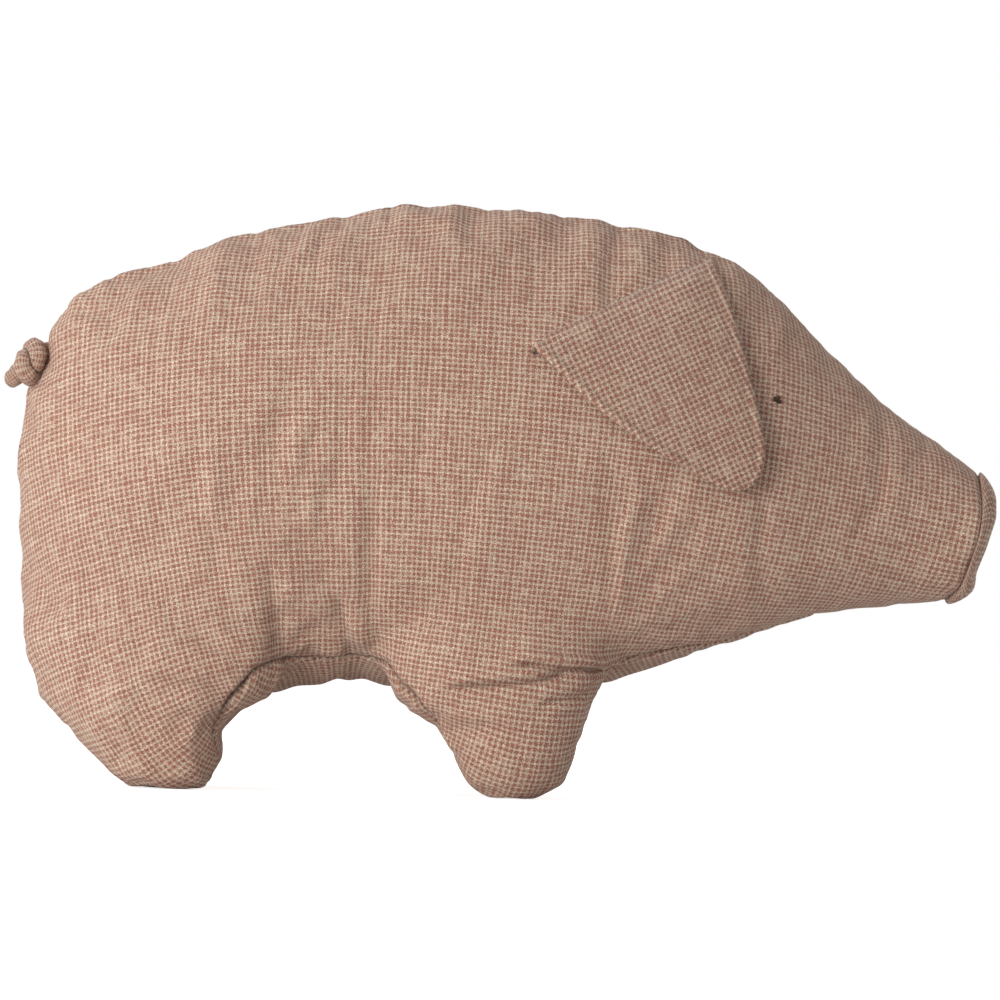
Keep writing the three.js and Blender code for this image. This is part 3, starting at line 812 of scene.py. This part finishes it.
def lipped(mesh, points, before, pairs, snout):
    """Points with the snout disc padded: a round rim all along its seam and a slightly bowed front."""
    inside = corner_panels(mesh) == DISC
    mine = np.unique(corner_points(mesh)[inside])
    sewn = np.unique(pairs)
    ring = before[np.intersect1d(sewn, mine)]
    middle = np.array([0, (ring[:, 2].min() + ring[:, 2].max()) / 2])
    angle = np.arctan2(before[mine, 2] - middle[1], before[mine, 1])
    outward = np.column_stack([np.cos(angle), np.sin(angle)])
    reach, along = around(ring, middle, angle)
    far = np.hypot(before[mine, 1], before[mine, 2] - middle[1])
    gap = np.where(np.isin(mine, sewn), 0, np.maximum(reach - far, 0.6 * MM))

    turn = np.clip(gap / (0.85 * snout.rim), 0, 1) * math.pi
    roll = (1 - np.cos(turn)) / 2
    low = smoothstep(0, -0.9, outward[:, 1])
    high = smoothstep(0.6, 1, outward[:, 1])
    hang = (snout.lip + snout.low_lip * low + snout.high_lip * high) * np.sin(turn)
    seam = middle + outward * reach[:, None]
    flat = seam + outward * (hang - gap)[:, None]
    bow = snout.bow * np.clip(np.abs(flat[:, 0]) / np.abs(seam[:, 0]).max(), 0, 1)**2
    heights, fronts = np.array(LIP).T * MM
    front = np.interp(flat[:, 1], heights, fronts) + snout.proud - bow
    points = points.copy()
    points[mine, 0] = along + (front - along) * roll
    points[mine, 1:] = flat

    spread = (front - along) * (1 - roll) * smoothstep(snout.rim, 0, gap)
    sideways = np.zeros((len(points), 2))
    sideways[mine] = outward * spread[:, None]
    grain = read(mesh.uv_layers[GRAIN].uv, "vector", width=2)
    grain[inside] += sideways[corner_points(mesh)[inside]]
    set_grain(mesh, grain)
    free = np.zeros(len(points))
    free[mine] = 0.5 * smoothstep(0.8 * MM, 3 * MM, gap)
    return relaxed(points, edges_of(mesh), 3, free)


def panel_cloth(skin, index, thickness):
    """One panel of the skin as a closed sheet of cloth."""
    sheet = bmesh.new()
    sheet.from_mesh(skin)
    others = [face for face in sheet.faces if face.material_index != index]
    bmesh.ops.delete(sheet, geom=others, context="FACES")
    for face in sheet.faces:
        face.material_index = 0
        face.smooth = True
    mesh = bpy.data.meshes.new(PANELS[index])
    sheet.to_mesh(mesh)
    sheet.free()
    source = placed(mesh, "sheet")
    thick = source.modifiers.new("Thickness", "SOLIDIFY")
    thick.thickness = thickness
    thick.offset = -1
    return applied(source)


class Recipe:
    """Short calls that add nodes to a tree and link them."""

    def __init__(self, tree):
        self.tree = tree

    def node(self, kind, **values):
        made = self.tree.nodes.new(kind)
        for name, value in values.items():
            setattr(made, name, value)
        return made

    def feed(self, socket, value):
        if isinstance(value, bpy.types.NodeSocket):
            self.tree.links.new(value, socket)
        elif value is not None:
            socket.default_value = value

    def math(self, operation, first, second=None, third=None):
        made = self.node("ShaderNodeMath", operation=operation)
        for socket, value in zip(made.inputs, (first, second, third)):
            self.feed(socket, value)
        return made.outputs[0]

    def steps(self, value, low, high):
        made = self.node("ShaderNodeMapRange", interpolation_type="SMOOTHSTEP")
        self.feed(made.inputs["Value"], value)
        made.inputs["From Min"].default_value = low
        made.inputs["From Max"].default_value = high
        return made.outputs["Result"]

    def blend(self, share, first, second, kind="MIX"):
        made = self.node("ShaderNodeMix", data_type="RGBA", blend_type=kind)
        self.feed(made.inputs["Factor"], share)
        self.feed(made.inputs[6], first)
        self.feed(made.inputs[7], second)
        return made.outputs[2]

    def place(self, x, y, z=0.0):
        made = self.node("ShaderNodeCombineXYZ")
        for socket, value in zip(made.inputs, (x, y, z)):
            self.feed(socket, value)
        return made.outputs[0]

    def noise(self, place, scale, detail=1.0):
        made = self.node("ShaderNodeTexNoise")
        self.feed(made.inputs["Vector"], place)
        made.inputs["Scale"].default_value = scale
        made.inputs["Detail"].default_value = detail
        return made.outputs["Fac"]


def weave_group():
    """Checked plain weave: colour, with painted shade between the yarns and in creases, and relief from a
    place on the flat cloth, in metres.
    """
    name = "Checked Weave"
    if name in bpy.data.node_groups:
        return bpy.data.node_groups[name]
    tree = bpy.data.node_groups.new(name, "ShaderNodeTree")
    for label, kind, way in (
            ("Place", "NodeSocketVector", "INPUT"), ("Check", "NodeSocketFloat", "INPUT"),
            ("Dark", "NodeSocketColor", "INPUT"), ("Light", "NodeSocketColor", "INPUT"),
            ("Seam", "NodeSocketFloat", "INPUT"),
            ("Color", "NodeSocketColor", "OUTPUT"), ("Height", "NodeSocketFloat", "OUTPUT")):
        tree.interface.new_socket(name=label, in_out=way, socket_type=kind)
    use = Recipe(tree)
    given = use.node("NodeGroupInput").outputs
    split = use.node("ShaderNodeSeparateXYZ")
    use.feed(split.inputs[0], given["Place"])

    def centred(place, scale, detail=1.0):
        return use.math("SUBTRACT", use.noise(place, scale, detail), 0.5)

    def times(first, second):
        return use.math("MULTIPLY", first, second)

    def plus(*terms):
        total = terms[0]
        for term in terms[1:]:
            total = use.math("ADD", total, term)
        return total

    def waver(shift, short_way, long_way):
        """How far the yarns stray from their straight lines."""
        place = use.node("ShaderNodeVectorMath", operation="ADD")
        use.feed(place.inputs[0], given["Place"])
        place.inputs[1].default_value = (shift, -shift, shift)
        broad = centred(place.outputs[0], 110)
        short = centred(place.outputs[0], 620)
        spacing = centred(use.place(times(short_way, 330), times(long_way, 22), shift), 1.0)
        return plus(times(broad, 0.0007), times(short, 0.0005), times(spacing, 0.0011))

    sway = waver(0.37, split.outputs["X"], split.outputs["Y"])
    drift = waver(1.91, split.outputs["Y"], split.outputs["X"])
    across = use.math("DIVIDE", plus(split.outputs["X"], sway), given["Check"])
    up = use.math("DIVIDE", plus(split.outputs["Y"], drift), given["Check"])

    def stripe(phase, width=0.58, soft=0.3):
        """The dark yarns, which take this share of a check."""
        edge = math.cos(math.pi * width)
        return use.steps(use.math("COSINE", times(phase, 2 * math.pi)), edge - soft, edge + soft)

    def yarn(phase):
        return use.math("SINE", times(phase, 4 * math.pi))

    def streaks(long_way, short_way, shift):
        """Single yarns that are paler or darker for a stretch."""
        thread = use.math("FLOOR", times(short_way, 4))
        return centred(use.place(times(long_way, 0.07), times(thread, 0.73), shift), 1.0, 2.0)

    def count(phase):
        return use.math("FLOOR", plus(phase, 0.5))

    crossing = times(yarn(across), yarn(up))
    over = plus(times(use.steps(crossing, -0.35, 0.35), 0.5), 0.25)
    under = use.math("SUBTRACT", 1.0, over)
    dark = use.math("POWER", plus(times(over, stripe(across)), times(under, stripe(up))), 1.15)
    slub = plus(streaks(up, across, 0.3), streaks(across, up, 5.1))
    cell = centred(use.place(count(across), count(up), 2.7), 7.3, 0.0)
    dark = plus(dark, times(slub, 0.5), times(cell, 0.7))
    dark = use.math("MINIMUM", use.math("MAXIMUM", dark, 0.0), 1.0)
    colour = use.blend(dark, given["Light"], given["Dark"])
    height = use.math("POWER", use.math("ABSOLUTE", crossing), 0.5)
    mottle = centred(given["Place"], 22, 2.0)
    fuzz = centred(given["Place"], 1350, 2.0)
    # Painted shade between the yarns: the colour is darker where the yarns' relief is low; mottle, fuzz and
    # slubs vary the tone at random.
    light = plus(0.87, times(height, 0.16), times(mottle, 0.04), times(fuzz, 2.4), times(slub, -0.12))
    # Painted shade in seam valleys, fold grooves and the ears' dents darkens the colour by up to 35 %.
    light = times(light, use.math("SUBTRACT", 1.0, times(given["Seam"], 0.35)))
    shade = use.node("ShaderNodeVectorMath", operation="SCALE")
    use.feed(shade.inputs[0], colour)
    use.feed(shade.inputs["Scale"], light)
    put = use.node("NodeGroupOutput")
    use.feed(put.inputs["Color"], shade.outputs[0])
    use.feed(put.inputs["Height"], plus(height, times(fuzz, 0.8)))
    return tree


def cloth_material(name, cloth, tint=1.0):
    """A matt woven cloth; tint darkens or lightens both yarns."""
    look = bpy.data.materials.new(name)
    look.use_nodes = True
    use = Recipe(look.node_tree)
    shader = look.node_tree.nodes["Principled BSDF"]
    weave = use.node("ShaderNodeGroup", node_tree=weave_group())
    weave.inputs["Check"].default_value = cloth.check
    weave.inputs["Dark"].default_value = (*(tint * c for c in cloth.rose), 1)
    weave.inputs["Light"].default_value = (*(tint * c for c in cloth.cream), 1)
    use.feed(weave.inputs["Place"], use.node("ShaderNodeUVMap", uv_map=GRAIN).outputs[0])
    use.feed(weave.inputs["Seam"], use.node("ShaderNodeAttribute", attribute_name=PAINTED_SHADE).outputs["Fac"])
    use.feed(shader.inputs["Base Color"], weave.outputs["Color"])
    bump = use.node("ShaderNodeBump")
    bump.inputs["Distance"].default_value = cloth.yarn_height
    use.feed(bump.inputs["Height"], weave.outputs["Height"])
    use.feed(shader.inputs["Normal"], bump.outputs[0])
    shader.inputs["Roughness"].default_value = 0.9
    shader.inputs["Specular IOR Level"].default_value = 0.25
    shader.inputs["Sheen Weight"].default_value = 0.12
    shader.inputs["Sheen Roughness"].default_value = 0.5
    return look


def plain_material(name, colour, roughness, grain_scale, grain_height):
    """A plain finish with a fine grain in colour and relief."""
    look = bpy.data.materials.new(name)
    look.use_nodes = True
    use = Recipe(look.node_tree)
    shader = look.node_tree.nodes["Principled BSDF"]
    place = use.node("ShaderNodeTexCoord").outputs["Object"]
    grain = use.noise(place, grain_scale, 4.0)
    pale = (*(min(1, 1.25 * c) for c in colour), 1)
    deep = (*(0.7 * c for c in colour), 1)
    use.feed(shader.inputs["Base Color"], use.blend(grain, deep, pale))
    bump = use.node("ShaderNodeBump")
    bump.inputs["Distance"].default_value = grain_height
    use.feed(bump.inputs["Height"], grain)
    use.feed(shader.inputs["Normal"], bump.outputs[0])
    shader.inputs["Roughness"].default_value = roughness
    return look


def finished(mesh, name, look, body="body", node=None):
    """A piece on its body, in its material, standing for its node."""
    mesh.materials.clear()
    mesh.materials.append(look)
    for face in mesh.polygons:
        face.use_smooth = True
        face.material_index = 0
    piece = placed(mesh, name)
    if body:
        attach(piece, body)
    if node:
        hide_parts(node)
    return piece


class PIG_OT_cover(bpy.types.Operator):
    """Sews the two side panels, the belly gusset and the snout disc, and fills them"""
    bl_idname = "pig.cover"
    bl_label = "Cover"

    def execute(self, context):
        scene = context.scene
        stuffing, seams, cloth = scene.pig_stuffing, scene.pig_seams, scene.pig_cloth
        mesh = panelled_skin(stuffing.grid)
        edges = edges_of(mesh)
        points = points_of(mesh)
        height = points[:, 2]
        hips = zone("hip_low", height) * zone("hip_high", height)
        gap = np.min([np.hypot(points[:, 0] - x, points[:, 1] - y) for x, y in FEET], axis=0)
        feet = zone("sole", height) * zone("foot", gap)
        points = relaxed(points, edges, 4, 0.5 * (1 - feet))
        points = relaxed(points, edges, 24, 0.5 * hips)
        set_points(mesh, points)
        flatten(mesh)
        points = filled(mesh, stuffing)
        points = nudged(points)
        points[:, 2] = np.maximum(points[:, 2], 0)
        set_points(mesh, points)
        fine = subdivided(mesh)
        points, normals = points_of(fine), normals_of(fine)
        pairs = edges_of(fine)[seam_edges(fine)]
        tree = seam_tree(points, pairs, 0.5 * MM)
        bare = fine.copy()
        bare.name = BARE_SKIN
        folds = [folded(points, normals, *fold) for fold in FOLDS.values()]
        before, points = points, points + sum(move for move, _ in folds)
        points, near = seam_relief(points, normals, tree, seams)
        # Painted shade: seam valleys and fold grooves darken the cloth's colour.
        near = np.maximum(near, sum(shade for _, shade in folds))
        points = lipped(fine, points, before, pairs, scene.pig_snout)
        points[:, 2] = np.maximum(points[:, 2], 0)
        set_points(fine, points)
        fine.name = DRESSED_SKIN
        set_painted_shade(fine, near)
        look = cloth_material("checked_cloth", cloth)
        for index, name in enumerate(PANELS):
            sheet = panel_cloth(fine, index, cloth.thickness)
            piece = finished(sheet, f"{name}_cloth", look, node=name)
        return {"FINISHED"}


def skin_tree(name):
    """A search tree over one of the two skins."""
    mesh = bpy.data.meshes[name]
    return BVHTree.FromPolygons([v.co for v in mesh.vertices], [f.vertices for f in mesh.polygons])


def kept_under(skin, point, depth):
    """The point, or the nearest one that lies deep enough under the skin."""
    place, normal, _, _ = skin.find_nearest(point)
    under = (place - Vector(point)).dot(normal)
    return tuple(point) if under >= depth else tuple(place - normal * depth)


class PIG_OT_filling(bpy.types.Operator):
    """Makes the fibre wads inside the cover"""
    bl_idname = "pig.filling"
    bl_label = "Filling"

    def execute(self, context):
        stuffing = context.scene.pig_stuffing
        look = plain_material("fibre_wad", (0.82, 0.80, 0.76), 1.0, 420, 1.5 * MM)
        skin = skin_tree(BARE_SKIN)
        for name in FILLINGS:
            mesh = closed_skin((name,), stuffing.wad_grid)
            points = relaxed(points_of(mesh), edges_of(mesh), 6)
            set_points(mesh, points)
            tufts = np.array([ripple(point, stuffing.tuft_width, 2) for point in points])
            inset = stuffing.wad_inset + stuffing.tuft * tufts
            points = points - normals_of(mesh) * inset[:, None]
            set_points(mesh, [kept_under(skin, point, stuffing.wad_depth) for point in points])
            piece = finished(mesh, f"{name}_wad", look, node=name)
        return {"FINISHED"}


def on_flank(skin, x, z, side):
    """The skin's point at a place seen from the side."""
    hit = skin.ray_cast(Vector((x, side * 0.3, z)), Vector((0, -side, 0)))
    if hit[0] is None:
        raise RuntimeError(f"no skin at {x}, {z}")
    return hit[0]


def grid_faces(rows, columns, flip):
    """Faces of a grid of points."""
    faces = []
    for row in range(rows - 1):
        for column in range(columns - 1):
            a = row * columns + column
            face = [a, a + 1, a + columns + 1, a + columns]
            faces.append(face[::-1] if flip else face)
    return faces


def ear_ply(skin, dressed, ears, side, layer, steps=48):
    """One ply of an ear as a closed sheet; layer is 1 for the outer ply and -1 for the lining."""
    tilt = ears.tilt
    shares = through(EAR_SHARES, 6)
    overs = (1 - np.cos(np.pi * np.arange(steps + 1) / steps)) / 2
    downs = np.sin(np.arange(steps + 1) / steps * np.pi / 2)
    downs[0] = -ears.tuck / ears.depth
    trim = 0 if layer > 0 else ears.trim
    flat, middle, rim = [], [], []
    for down in downs:
        rear, front = (np.interp(down, shares[:, 0], shares[:, axis]) * ears.length for axis in (1, 2))
        rear, front, low = rear + trim, front - trim, down * (ears.depth - trim)
        for over in overs:
            along = rear + (front - rear) * over
            x = ears.root[0] + along * math.cos(tilt) + low * math.sin(tilt)
            z = ears.root[1] + along * math.sin(tilt) - low * math.cos(tilt)
            flat.append((along, low))
            rim.append(min(along - rear, front - along, ears.depth * math.acos(min(down, 1)) / 1.2))
            place = on_flank(skin, x, z, side)
            swell = max(0.0, side * (on_flank(dressed, x, z, side).y - place.y))
            middle.append((*place, swell))
    flat, middle, rim = np.array(flat), np.array(middle), np.array(rim)
    wide = steps + 1
    faces = grid_faces(wide, wide, side > 0)
    mesh = bpy.data.meshes.new("ear")
    mesh.from_pydata(middle[:, :3].tolist(), [], faces)
    links = edges_of(mesh)
    swell = relaxed(np.repeat(middle[:, 3:], 3, axis=1), links, 40)[:, 0]
    depth = relaxed(middle[:, :3], links, 3)[:, 1]
    down, over = np.repeat(downs, wide), np.tile(overs, wide)
    low = flat[:, 1]
    wave = np.array([ripple(p, 42 * MM, 5 + side) for p in middle[:, :3]])
    down = np.maximum(down, 0)
    rise = np.sin(np.clip((low + ears.tuck) / (ears.tuck + ears.sunk), 0, 1) * math.pi / 2)
    stand = -ears.sunk + (2 * ears.ply + ears.clear + swell) * rise
    stand += ears.lift * down**1.5 + ears.front_lift * over**4 * down + ears.wave * wave * down
    core = np.column_stack([middle[:, 0], depth + side * stand, middle[:, 2]])
    set_points(mesh, core)
    normals = normals_of(mesh)
    normals *= np.where((normals[:, 1] * side).mean() < 0, -1, 1) * layer
    roll = np.sqrt(np.clip(1 - (1 - np.clip(rim / ears.edge, 0, 1))**2, 0, 1))
    rib = ears.rib * np.exp(-((rim - 2.4 * MM) / (1.1 * MM))**2)
    dent = ears.dent * np.exp(-((rim - 4.6 * MM) / (1.2 * MM))**2)
    thick = (ears.ply + (rib - dent) * (layer > 0)) * (0.15 + 0.85 * roll)
    top = core + normals * thick[:, None]
    bottom = core + normals * 0.05 * MM
    count = len(top)
    both = [*faces, *([i + count for i in face[::-1]] for face in faces)]
    border = ([*range(wide)] + [wide * r + steps for r in range(1, wide)]
              + [wide * steps + c for c in range(steps - 1, -1, -1)]
              + [wide * r for r in range(steps - 1, 0, -1)])
    for first, second in zip(border, border[1:] + border[:1]):
        both.append([second, first, first + count, second + count])
    made = bpy.data.meshes.new("ear_ply")
    made.from_pydata(np.vstack([top, bottom]).tolist(), [], both)
    faced_outward(made)
    set_grain(made, np.vstack([flat, flat])[corner_points(made)])
    # Painted shade: a faint dark line in the dent behind the turned edge's rib.
    set_painted_shade(made, np.tile(0.2 * np.exp(-((rim - 4.4 * MM) / (1.2 * MM))**2), 2))
    return made


class PIG_OT_ears(bpy.types.Operator):
    """Makes both plies of each ear"""
    bl_idname = "pig.ears"
    bl_label = "Ears"

    def execute(self, context):
        ears, cloth = context.scene.pig_ears, context.scene.pig_cloth
        skin, dressed = skin_tree(BARE_SKIN), skin_tree(DRESSED_SKIN)
        # Painted shade: the outer ply is the body's cloth painted a tenth darker because the ear faces away
        # from the lamps, and the lining, under the ear, is darker still.
        outer = cloth_material("ear_cloth", cloth, 0.9)
        lining = cloth_material("ear_lining_cloth", cloth, 0.82)
        for name, side in SIDES.items():
            for ply, layer, look, slot in (
                    ("outer", 1, outer, "checked_cloth"), ("lining", -1, lining, "ear_lining")):
                mesh = ear_ply(skin, dressed, ears, side, layer)
                piece = finished(
                    mesh, f"{name}_ear_{ply}_cloth", look, body=None, node=f"{name}_ear_{ply}")
                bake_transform(piece)
        return {"FINISHED"}


def pulled_tight(line, gap, rounds=700):
    """A knotted line pulled tight until its turns lie one gap apart, its ends drawn onto the axis."""
    count = len(line)
    steps = np.abs(np.subtract.outer(np.arange(count), np.arange(count)))
    ends = np.array([[0, 0, -6.5 * gap], [0, 0, 6.5 * gap]])
    for number in range(rounds):
        pull = min(1, number / (0.3 * rounds))
        line[0] += (ends[0] - line[0]) * pull / 20
        line[-1] += (ends[1] - line[-1]) * pull / 20
        line[1:-1] += 0.3 * ((line[:-2] + line[2:]) / 2 - line[1:-1])
        off = line[:, None] - line[None]
        far = np.linalg.norm(off, axis=2) + TINY
        pace = np.linalg.norm(np.diff(line, axis=0), axis=1)
        touching = (far < gap) & (steps * pace.mean() > 1.6 * gap)
        push = np.where(touching, (gap - far) / far, 0)[..., None] * off
        line[1:-1] += (0.5 * push.sum(1) / np.maximum(touching.sum(1), 1)[:, None])[1:-1]
        if number % 10 == 0:
            length = np.concatenate([[0], np.cumsum(np.linalg.norm(np.diff(line, axis=0), axis=1))])
            even = np.linspace(0, length[-1], count)
            line = np.stack([np.interp(even, length, line[:, axis]) for axis in range(3)], axis=1)
    return line


def links_of(line):
    """The pairs of points that follow one another on a line."""
    return np.column_stack([np.arange(len(line) - 1), np.arange(1, len(line))])


def tail_line(settings):
    """The tail's middle line: out of the back seam, round an overhand knot, and a free end."""
    t = np.linspace(-2.2, 2.2, 140)[:, None]
    loose = np.hstack([4 * (t**3 - 3 * t), 3 * (t**4 - 4 * t**2), 1.2 * (t**5 - 10 * t)]) * MM
    knot = pulled_tight(loose, settings.gap)
    knot[:, 2] *= settings.stretch
    low = knot[:, 2]
    knot = knot[(low > -9 * MM) & (low < settings.free_end)]
    out = np.array([-math.cos(settings.slope), 0, -math.sin(settings.slope)])
    off = np.array([-math.sin(settings.slope), 0, math.cos(settings.slope)])
    aside = np.array([0, 1, 0])
    turn, lean = math.cos(settings.turn), math.sin(settings.turn)
    middle = np.array([settings.knot[0], 0, settings.knot[1]])
    points = [middle + out * z + aside * (x * turn - y * lean) + off * (x * lean + y * turn)
              for x, y, z in knot[::2]]
    root = [middle + np.array(place) * MM for place in TAIL_ROOT]
    line = through(np.vstack([root, points]), 5)
    return relaxed(line, links_of(line), 12)


def tail_mesh(settings, sides=32):
    """A cloth tube along the tail's line, pressed flat where the knot's turns meet."""
    line = tail_line(settings)
    diameter = settings.tube
    ahead = np.gradient(line, axis=0)
    ahead /= np.linalg.norm(ahead, axis=1, keepdims=True)
    pace = np.linalg.norm(np.diff(line, axis=0), axis=1)
    length = np.concatenate([[0], np.cumsum(pace)])
    bend = relaxed(np.gradient(ahead, axis=0) / np.gradient(length)[:, None], links_of(line), 6)
    side = np.cross(ahead[0], [0, 1, 0])
    points, flat = [], []
    turns = np.arange(sides + 1) * 2 * math.pi / sides
    for index, (point, direction) in enumerate(zip(line, ahead)):
        side = side - direction * (side @ direction)
        side /= np.linalg.norm(side)
        share = (length[-1] - length[index]) / (diameter / 2)
        close = math.sqrt(max(0.0, 1 - max(0.0, 1 - share)**2))
        ways = np.outer(np.cos(turns), side) + np.outer(np.sin(turns), np.cross(direction, side))
        bulges = np.array([ripple(point + way * diameter / 3, settings.bulge, 9) for way in ways])
        puff = 1 + settings.puff * bulges
        reach = diameter / 2 * puff * max(close, 0.05)
        curve = ways @ bend[index]
        reach = np.minimum(reach, np.where(curve > 1, 0.9 / np.maximum(curve, 1), 1))
        apart = line - point
        gap = np.linalg.norm(apart, axis=1)
        other = (np.abs(length - length[index]) > 1.25 * diameter) & (gap < 1.4 * diameter)
        if other.any():
            cosine = ways @ (apart[other] / gap[other, None]).T
            limit = np.where(cosine > 0.12, (gap[other] / 2 - 0.1 * MM) / np.maximum(cosine, 0.12), 1)
            reach = np.minimum(reach, limit.min(axis=1))
        points.extend(point + ways * np.maximum(reach, 0.3 * MM)[:, None])
        flat.extend((length[index] * settings.gather, turn * diameter / 2 * settings.gather)
                    for turn in turns)
    columns, rows = sides + 1, len(line)
    faces = grid_faces(rows, columns, False)
    start, end = len(points), len(points) + 1
    points += [line[0], line[-1]]
    flat += [(0, 0), (length[-1] * settings.gather, 0)]
    last = (rows - 1) * columns
    for column in range(sides):
        faces.append([start, column + 1, column])
        faces.append([end, last + column, last + column + 1])
    mesh = bpy.data.meshes.new("tail")
    mesh.from_pydata([tuple(p) for p in points], [], faces)
    set_grain(mesh, np.array(flat)[corner_points(mesh)])
    faced_outward(mesh, merge=TINY)
    return mesh


class PIG_OT_tail(bpy.types.Operator):
    """Ties the cloth tail"""
    bl_idname = "pig.tail"
    bl_label = "Tail"

    def execute(self, context):
        cloth = context.scene.pig_cloth
        mesh = tail_mesh(context.scene.pig_tail)
        look = cloth_material("tail_cloth", cloth, 0.92)
        piece = finished(mesh, "tail_cloth", look, body="tail", node="tail")
        return {"FINISHED"}


def thread_curve(name, lines, thickness):
    """Round thread along lines of points."""
    curve = bpy.data.curves.new(name, "CURVE")
    curve.dimensions = "3D"
    curve.bevel_depth = thickness / 2
    curve.bevel_resolution = 3
    curve.use_fill_caps = True
    for line in lines:
        spline = curve.splines.new("POLY")
        spline.points.add(len(line) - 1)
        for point, place in zip(spline.points, line):
            point.co = (*place, 1)
    return applied(placed(curve, name))


class PIG_OT_eyes(bpy.types.Operator):
    """Stitches the eyes"""
    bl_idname = "pig.eyes"
    bl_label = "Eyes"

    def execute(self, context):
        eyes = context.scene.pig_eyes
        skin = skin_tree(DRESSED_SKIN)
        look = plain_material("eye_thread", tuple(eyes.colour), 0.9, 3200, 0.15 * MM)
        for name, side in SIDES.items():
            lines = []
            for turn, size, rise, along, up in EYE_STITCHES:
                line = []
                for step in np.linspace(-1, 1, 11):
                    across = step * size + 0.2 * math.sin(4 * step + turn)
                    x = eyes.place[0] + (along + across * math.cos(turn)) * MM
                    z = eyes.place[1] + (up + across * math.sin(turn)) * MM
                    base = on_flank(skin, x, z, side)
                    line.append((x, base.y + side * (rise * math.sqrt(1 - step**2) - 0.3) * MM, z))
                lines.append(through(line, 2))
            mesh = thread_curve(f"{name}_eye_stitches", lines, eyes.thread)
            finished(mesh, f"{name}_eye_stitches", look, node=f"{name}_eye")
        return {"FINISHED"}


def add_floor(wide=6.0):
    """A pale floor that looks white to the camera and still takes the toy's shadow."""
    mesh = bpy.data.meshes.new("floor")
    corners = [(-wide, -wide, 0), (wide, -wide, 0), (wide, wide, 0), (-wide, wide, 0)]
    mesh.from_pydata(corners, [], [(0, 1, 2, 3)])
    floor = placed(mesh, "floor")
    floor.location.z = -0.2 * MM
    look = bpy.data.materials.new("pale_floor")
    look.use_nodes = True
    use = Recipe(look.node_tree)
    shader = look.node_tree.nodes["Principled BSDF"]
    shader.inputs["Base Color"].default_value = (0.8, 0.8, 0.8, 1)
    shader.inputs["Roughness"].default_value = 1.0
    path = use.node("ShaderNodeLightPath")
    glow = use.node("ShaderNodeEmission")
    use.feed(glow.inputs["Strength"], use.math("MULTIPLY", path.outputs["Is Camera Ray"], 0.7))
    both = use.node("ShaderNodeAddShader")
    use.feed(both.inputs[0], shader.outputs[0])
    use.feed(both.inputs[1], glow.outputs[0])
    use.feed(look.node_tree.nodes["Material Output"].inputs["Surface"], both.outputs[0])
    mesh.materials.append(look)


def add_world(scene):
    """A white surround that lights the toy less than it shows."""
    world = bpy.data.worlds.new("studio")
    scene.world = world
    world.use_nodes = True
    use = Recipe(world.node_tree)
    sky = world.node_tree.nodes["Background"]
    sky.inputs["Color"].default_value = (1, 1, 1, 1)
    path = use.node("ShaderNodeLightPath")
    seen = use.math("MAXIMUM", path.outputs["Is Camera Ray"], use.math(
        "MAXIMUM", path.outputs["Is Glossy Ray"], path.outputs["Is Transmission Ray"]))
    use.feed(sky.inputs["Strength"], use.math("ADD", 0.4, use.math("MULTIPLY", seen, 0.6)))


def add_lamp(name, aim, place, width, power):
    """A round lamp turned towards the toy."""
    light = bpy.data.lights.new(name, "AREA")
    light.shape = "DISK"
    light.size = width
    light.energy = power
    made = placed(light, name)
    made.location = place
    made.rotation_euler = (aim - Vector(place)).to_track_quat("-Z", "Y").to_euler()


def add_camera(scene, studio, aim):
    """A long lens that looks straight at the toy's right side."""
    camera = bpy.data.cameras.new("camera")
    camera.lens = studio.lens
    away = studio.view_width * camera.lens / camera.sensor_width
    camera.clip_start, camera.clip_end = away / 100, away * 10
    eye = placed(camera, "camera")
    turn, lean = math.cos(studio.roll), math.sin(studio.roll)
    eye.matrix_world = Matrix((
        (turn, -lean, 0, aim.x), (0, 0, -1, aim.y - away), (lean, turn, 0, aim.z), (0, 0, 0, 1)))
    scene.camera = eye


class PIG_OT_studio(bpy.types.Operator):
    """Sets the floor, the lamps, the world and the camera"""
    bl_idname = "pig.studio"
    bl_label = "Studio"

    def execute(self, context):
        scene, studio = context.scene, context.scene.pig_studio
        scene.view_settings.view_transform = "Standard"
        aim = Vector(studio.aim)
        add_floor()
        add_world(scene)
        for name, (place, width, power) in LAMPS.items():
            add_lamp(name, aim, place, width, power)
        add_camera(scene, studio, aim)
        return {"FINISHED"}


OPERATORS = (
    PIG_OT_cover, PIG_OT_filling, PIG_OT_ears, PIG_OT_tail, PIG_OT_eyes, PIG_OT_studio)


class PIG_PT_panel(bpy.types.Panel):
    """Lists the steps that make the toy"""
    bl_idname = "PIG_PT_panel"
    bl_label = "Checked Cloth Pig"
    bl_space_type = "VIEW_3D"
    bl_region_type = "UI"
    bl_category = "Pig"

    def draw(self, context):
        for name in SETTINGS:
            for key in getattr(context.scene, name).bl_rna.properties.keys():
                if key not in ("rna_type", "name"):
                    self.layout.prop(getattr(context.scene, name), key)
        for operator in OPERATORS:
            self.layout.operator(operator.bl_idname)


def register():
    for name, kind in SETTINGS.items():
        bpy.utils.register_class(kind)
        setattr(bpy.types.Scene, name, PointerProperty(type=kind))
    for kind in (*OPERATORS, PIG_PT_panel):
        bpy.utils.register_class(kind)


def unregister():
    for kind in reversed((*OPERATORS, PIG_PT_panel)):
        bpy.utils.unregister_class(kind)
    for name, kind in SETTINGS.items():
        delattr(bpy.types.Scene, name)
        bpy.utils.unregister_class(kind)


def main():
    register()
    bpy.ops.pig.cover()
    bpy.ops.pig.filling()
    bpy.ops.pig.ears()
    bpy.ops.pig.tail()
    bpy.ops.pig.eyes()
    bpy.ops.pig.studio()


if __name__ == "__main__":
    main()
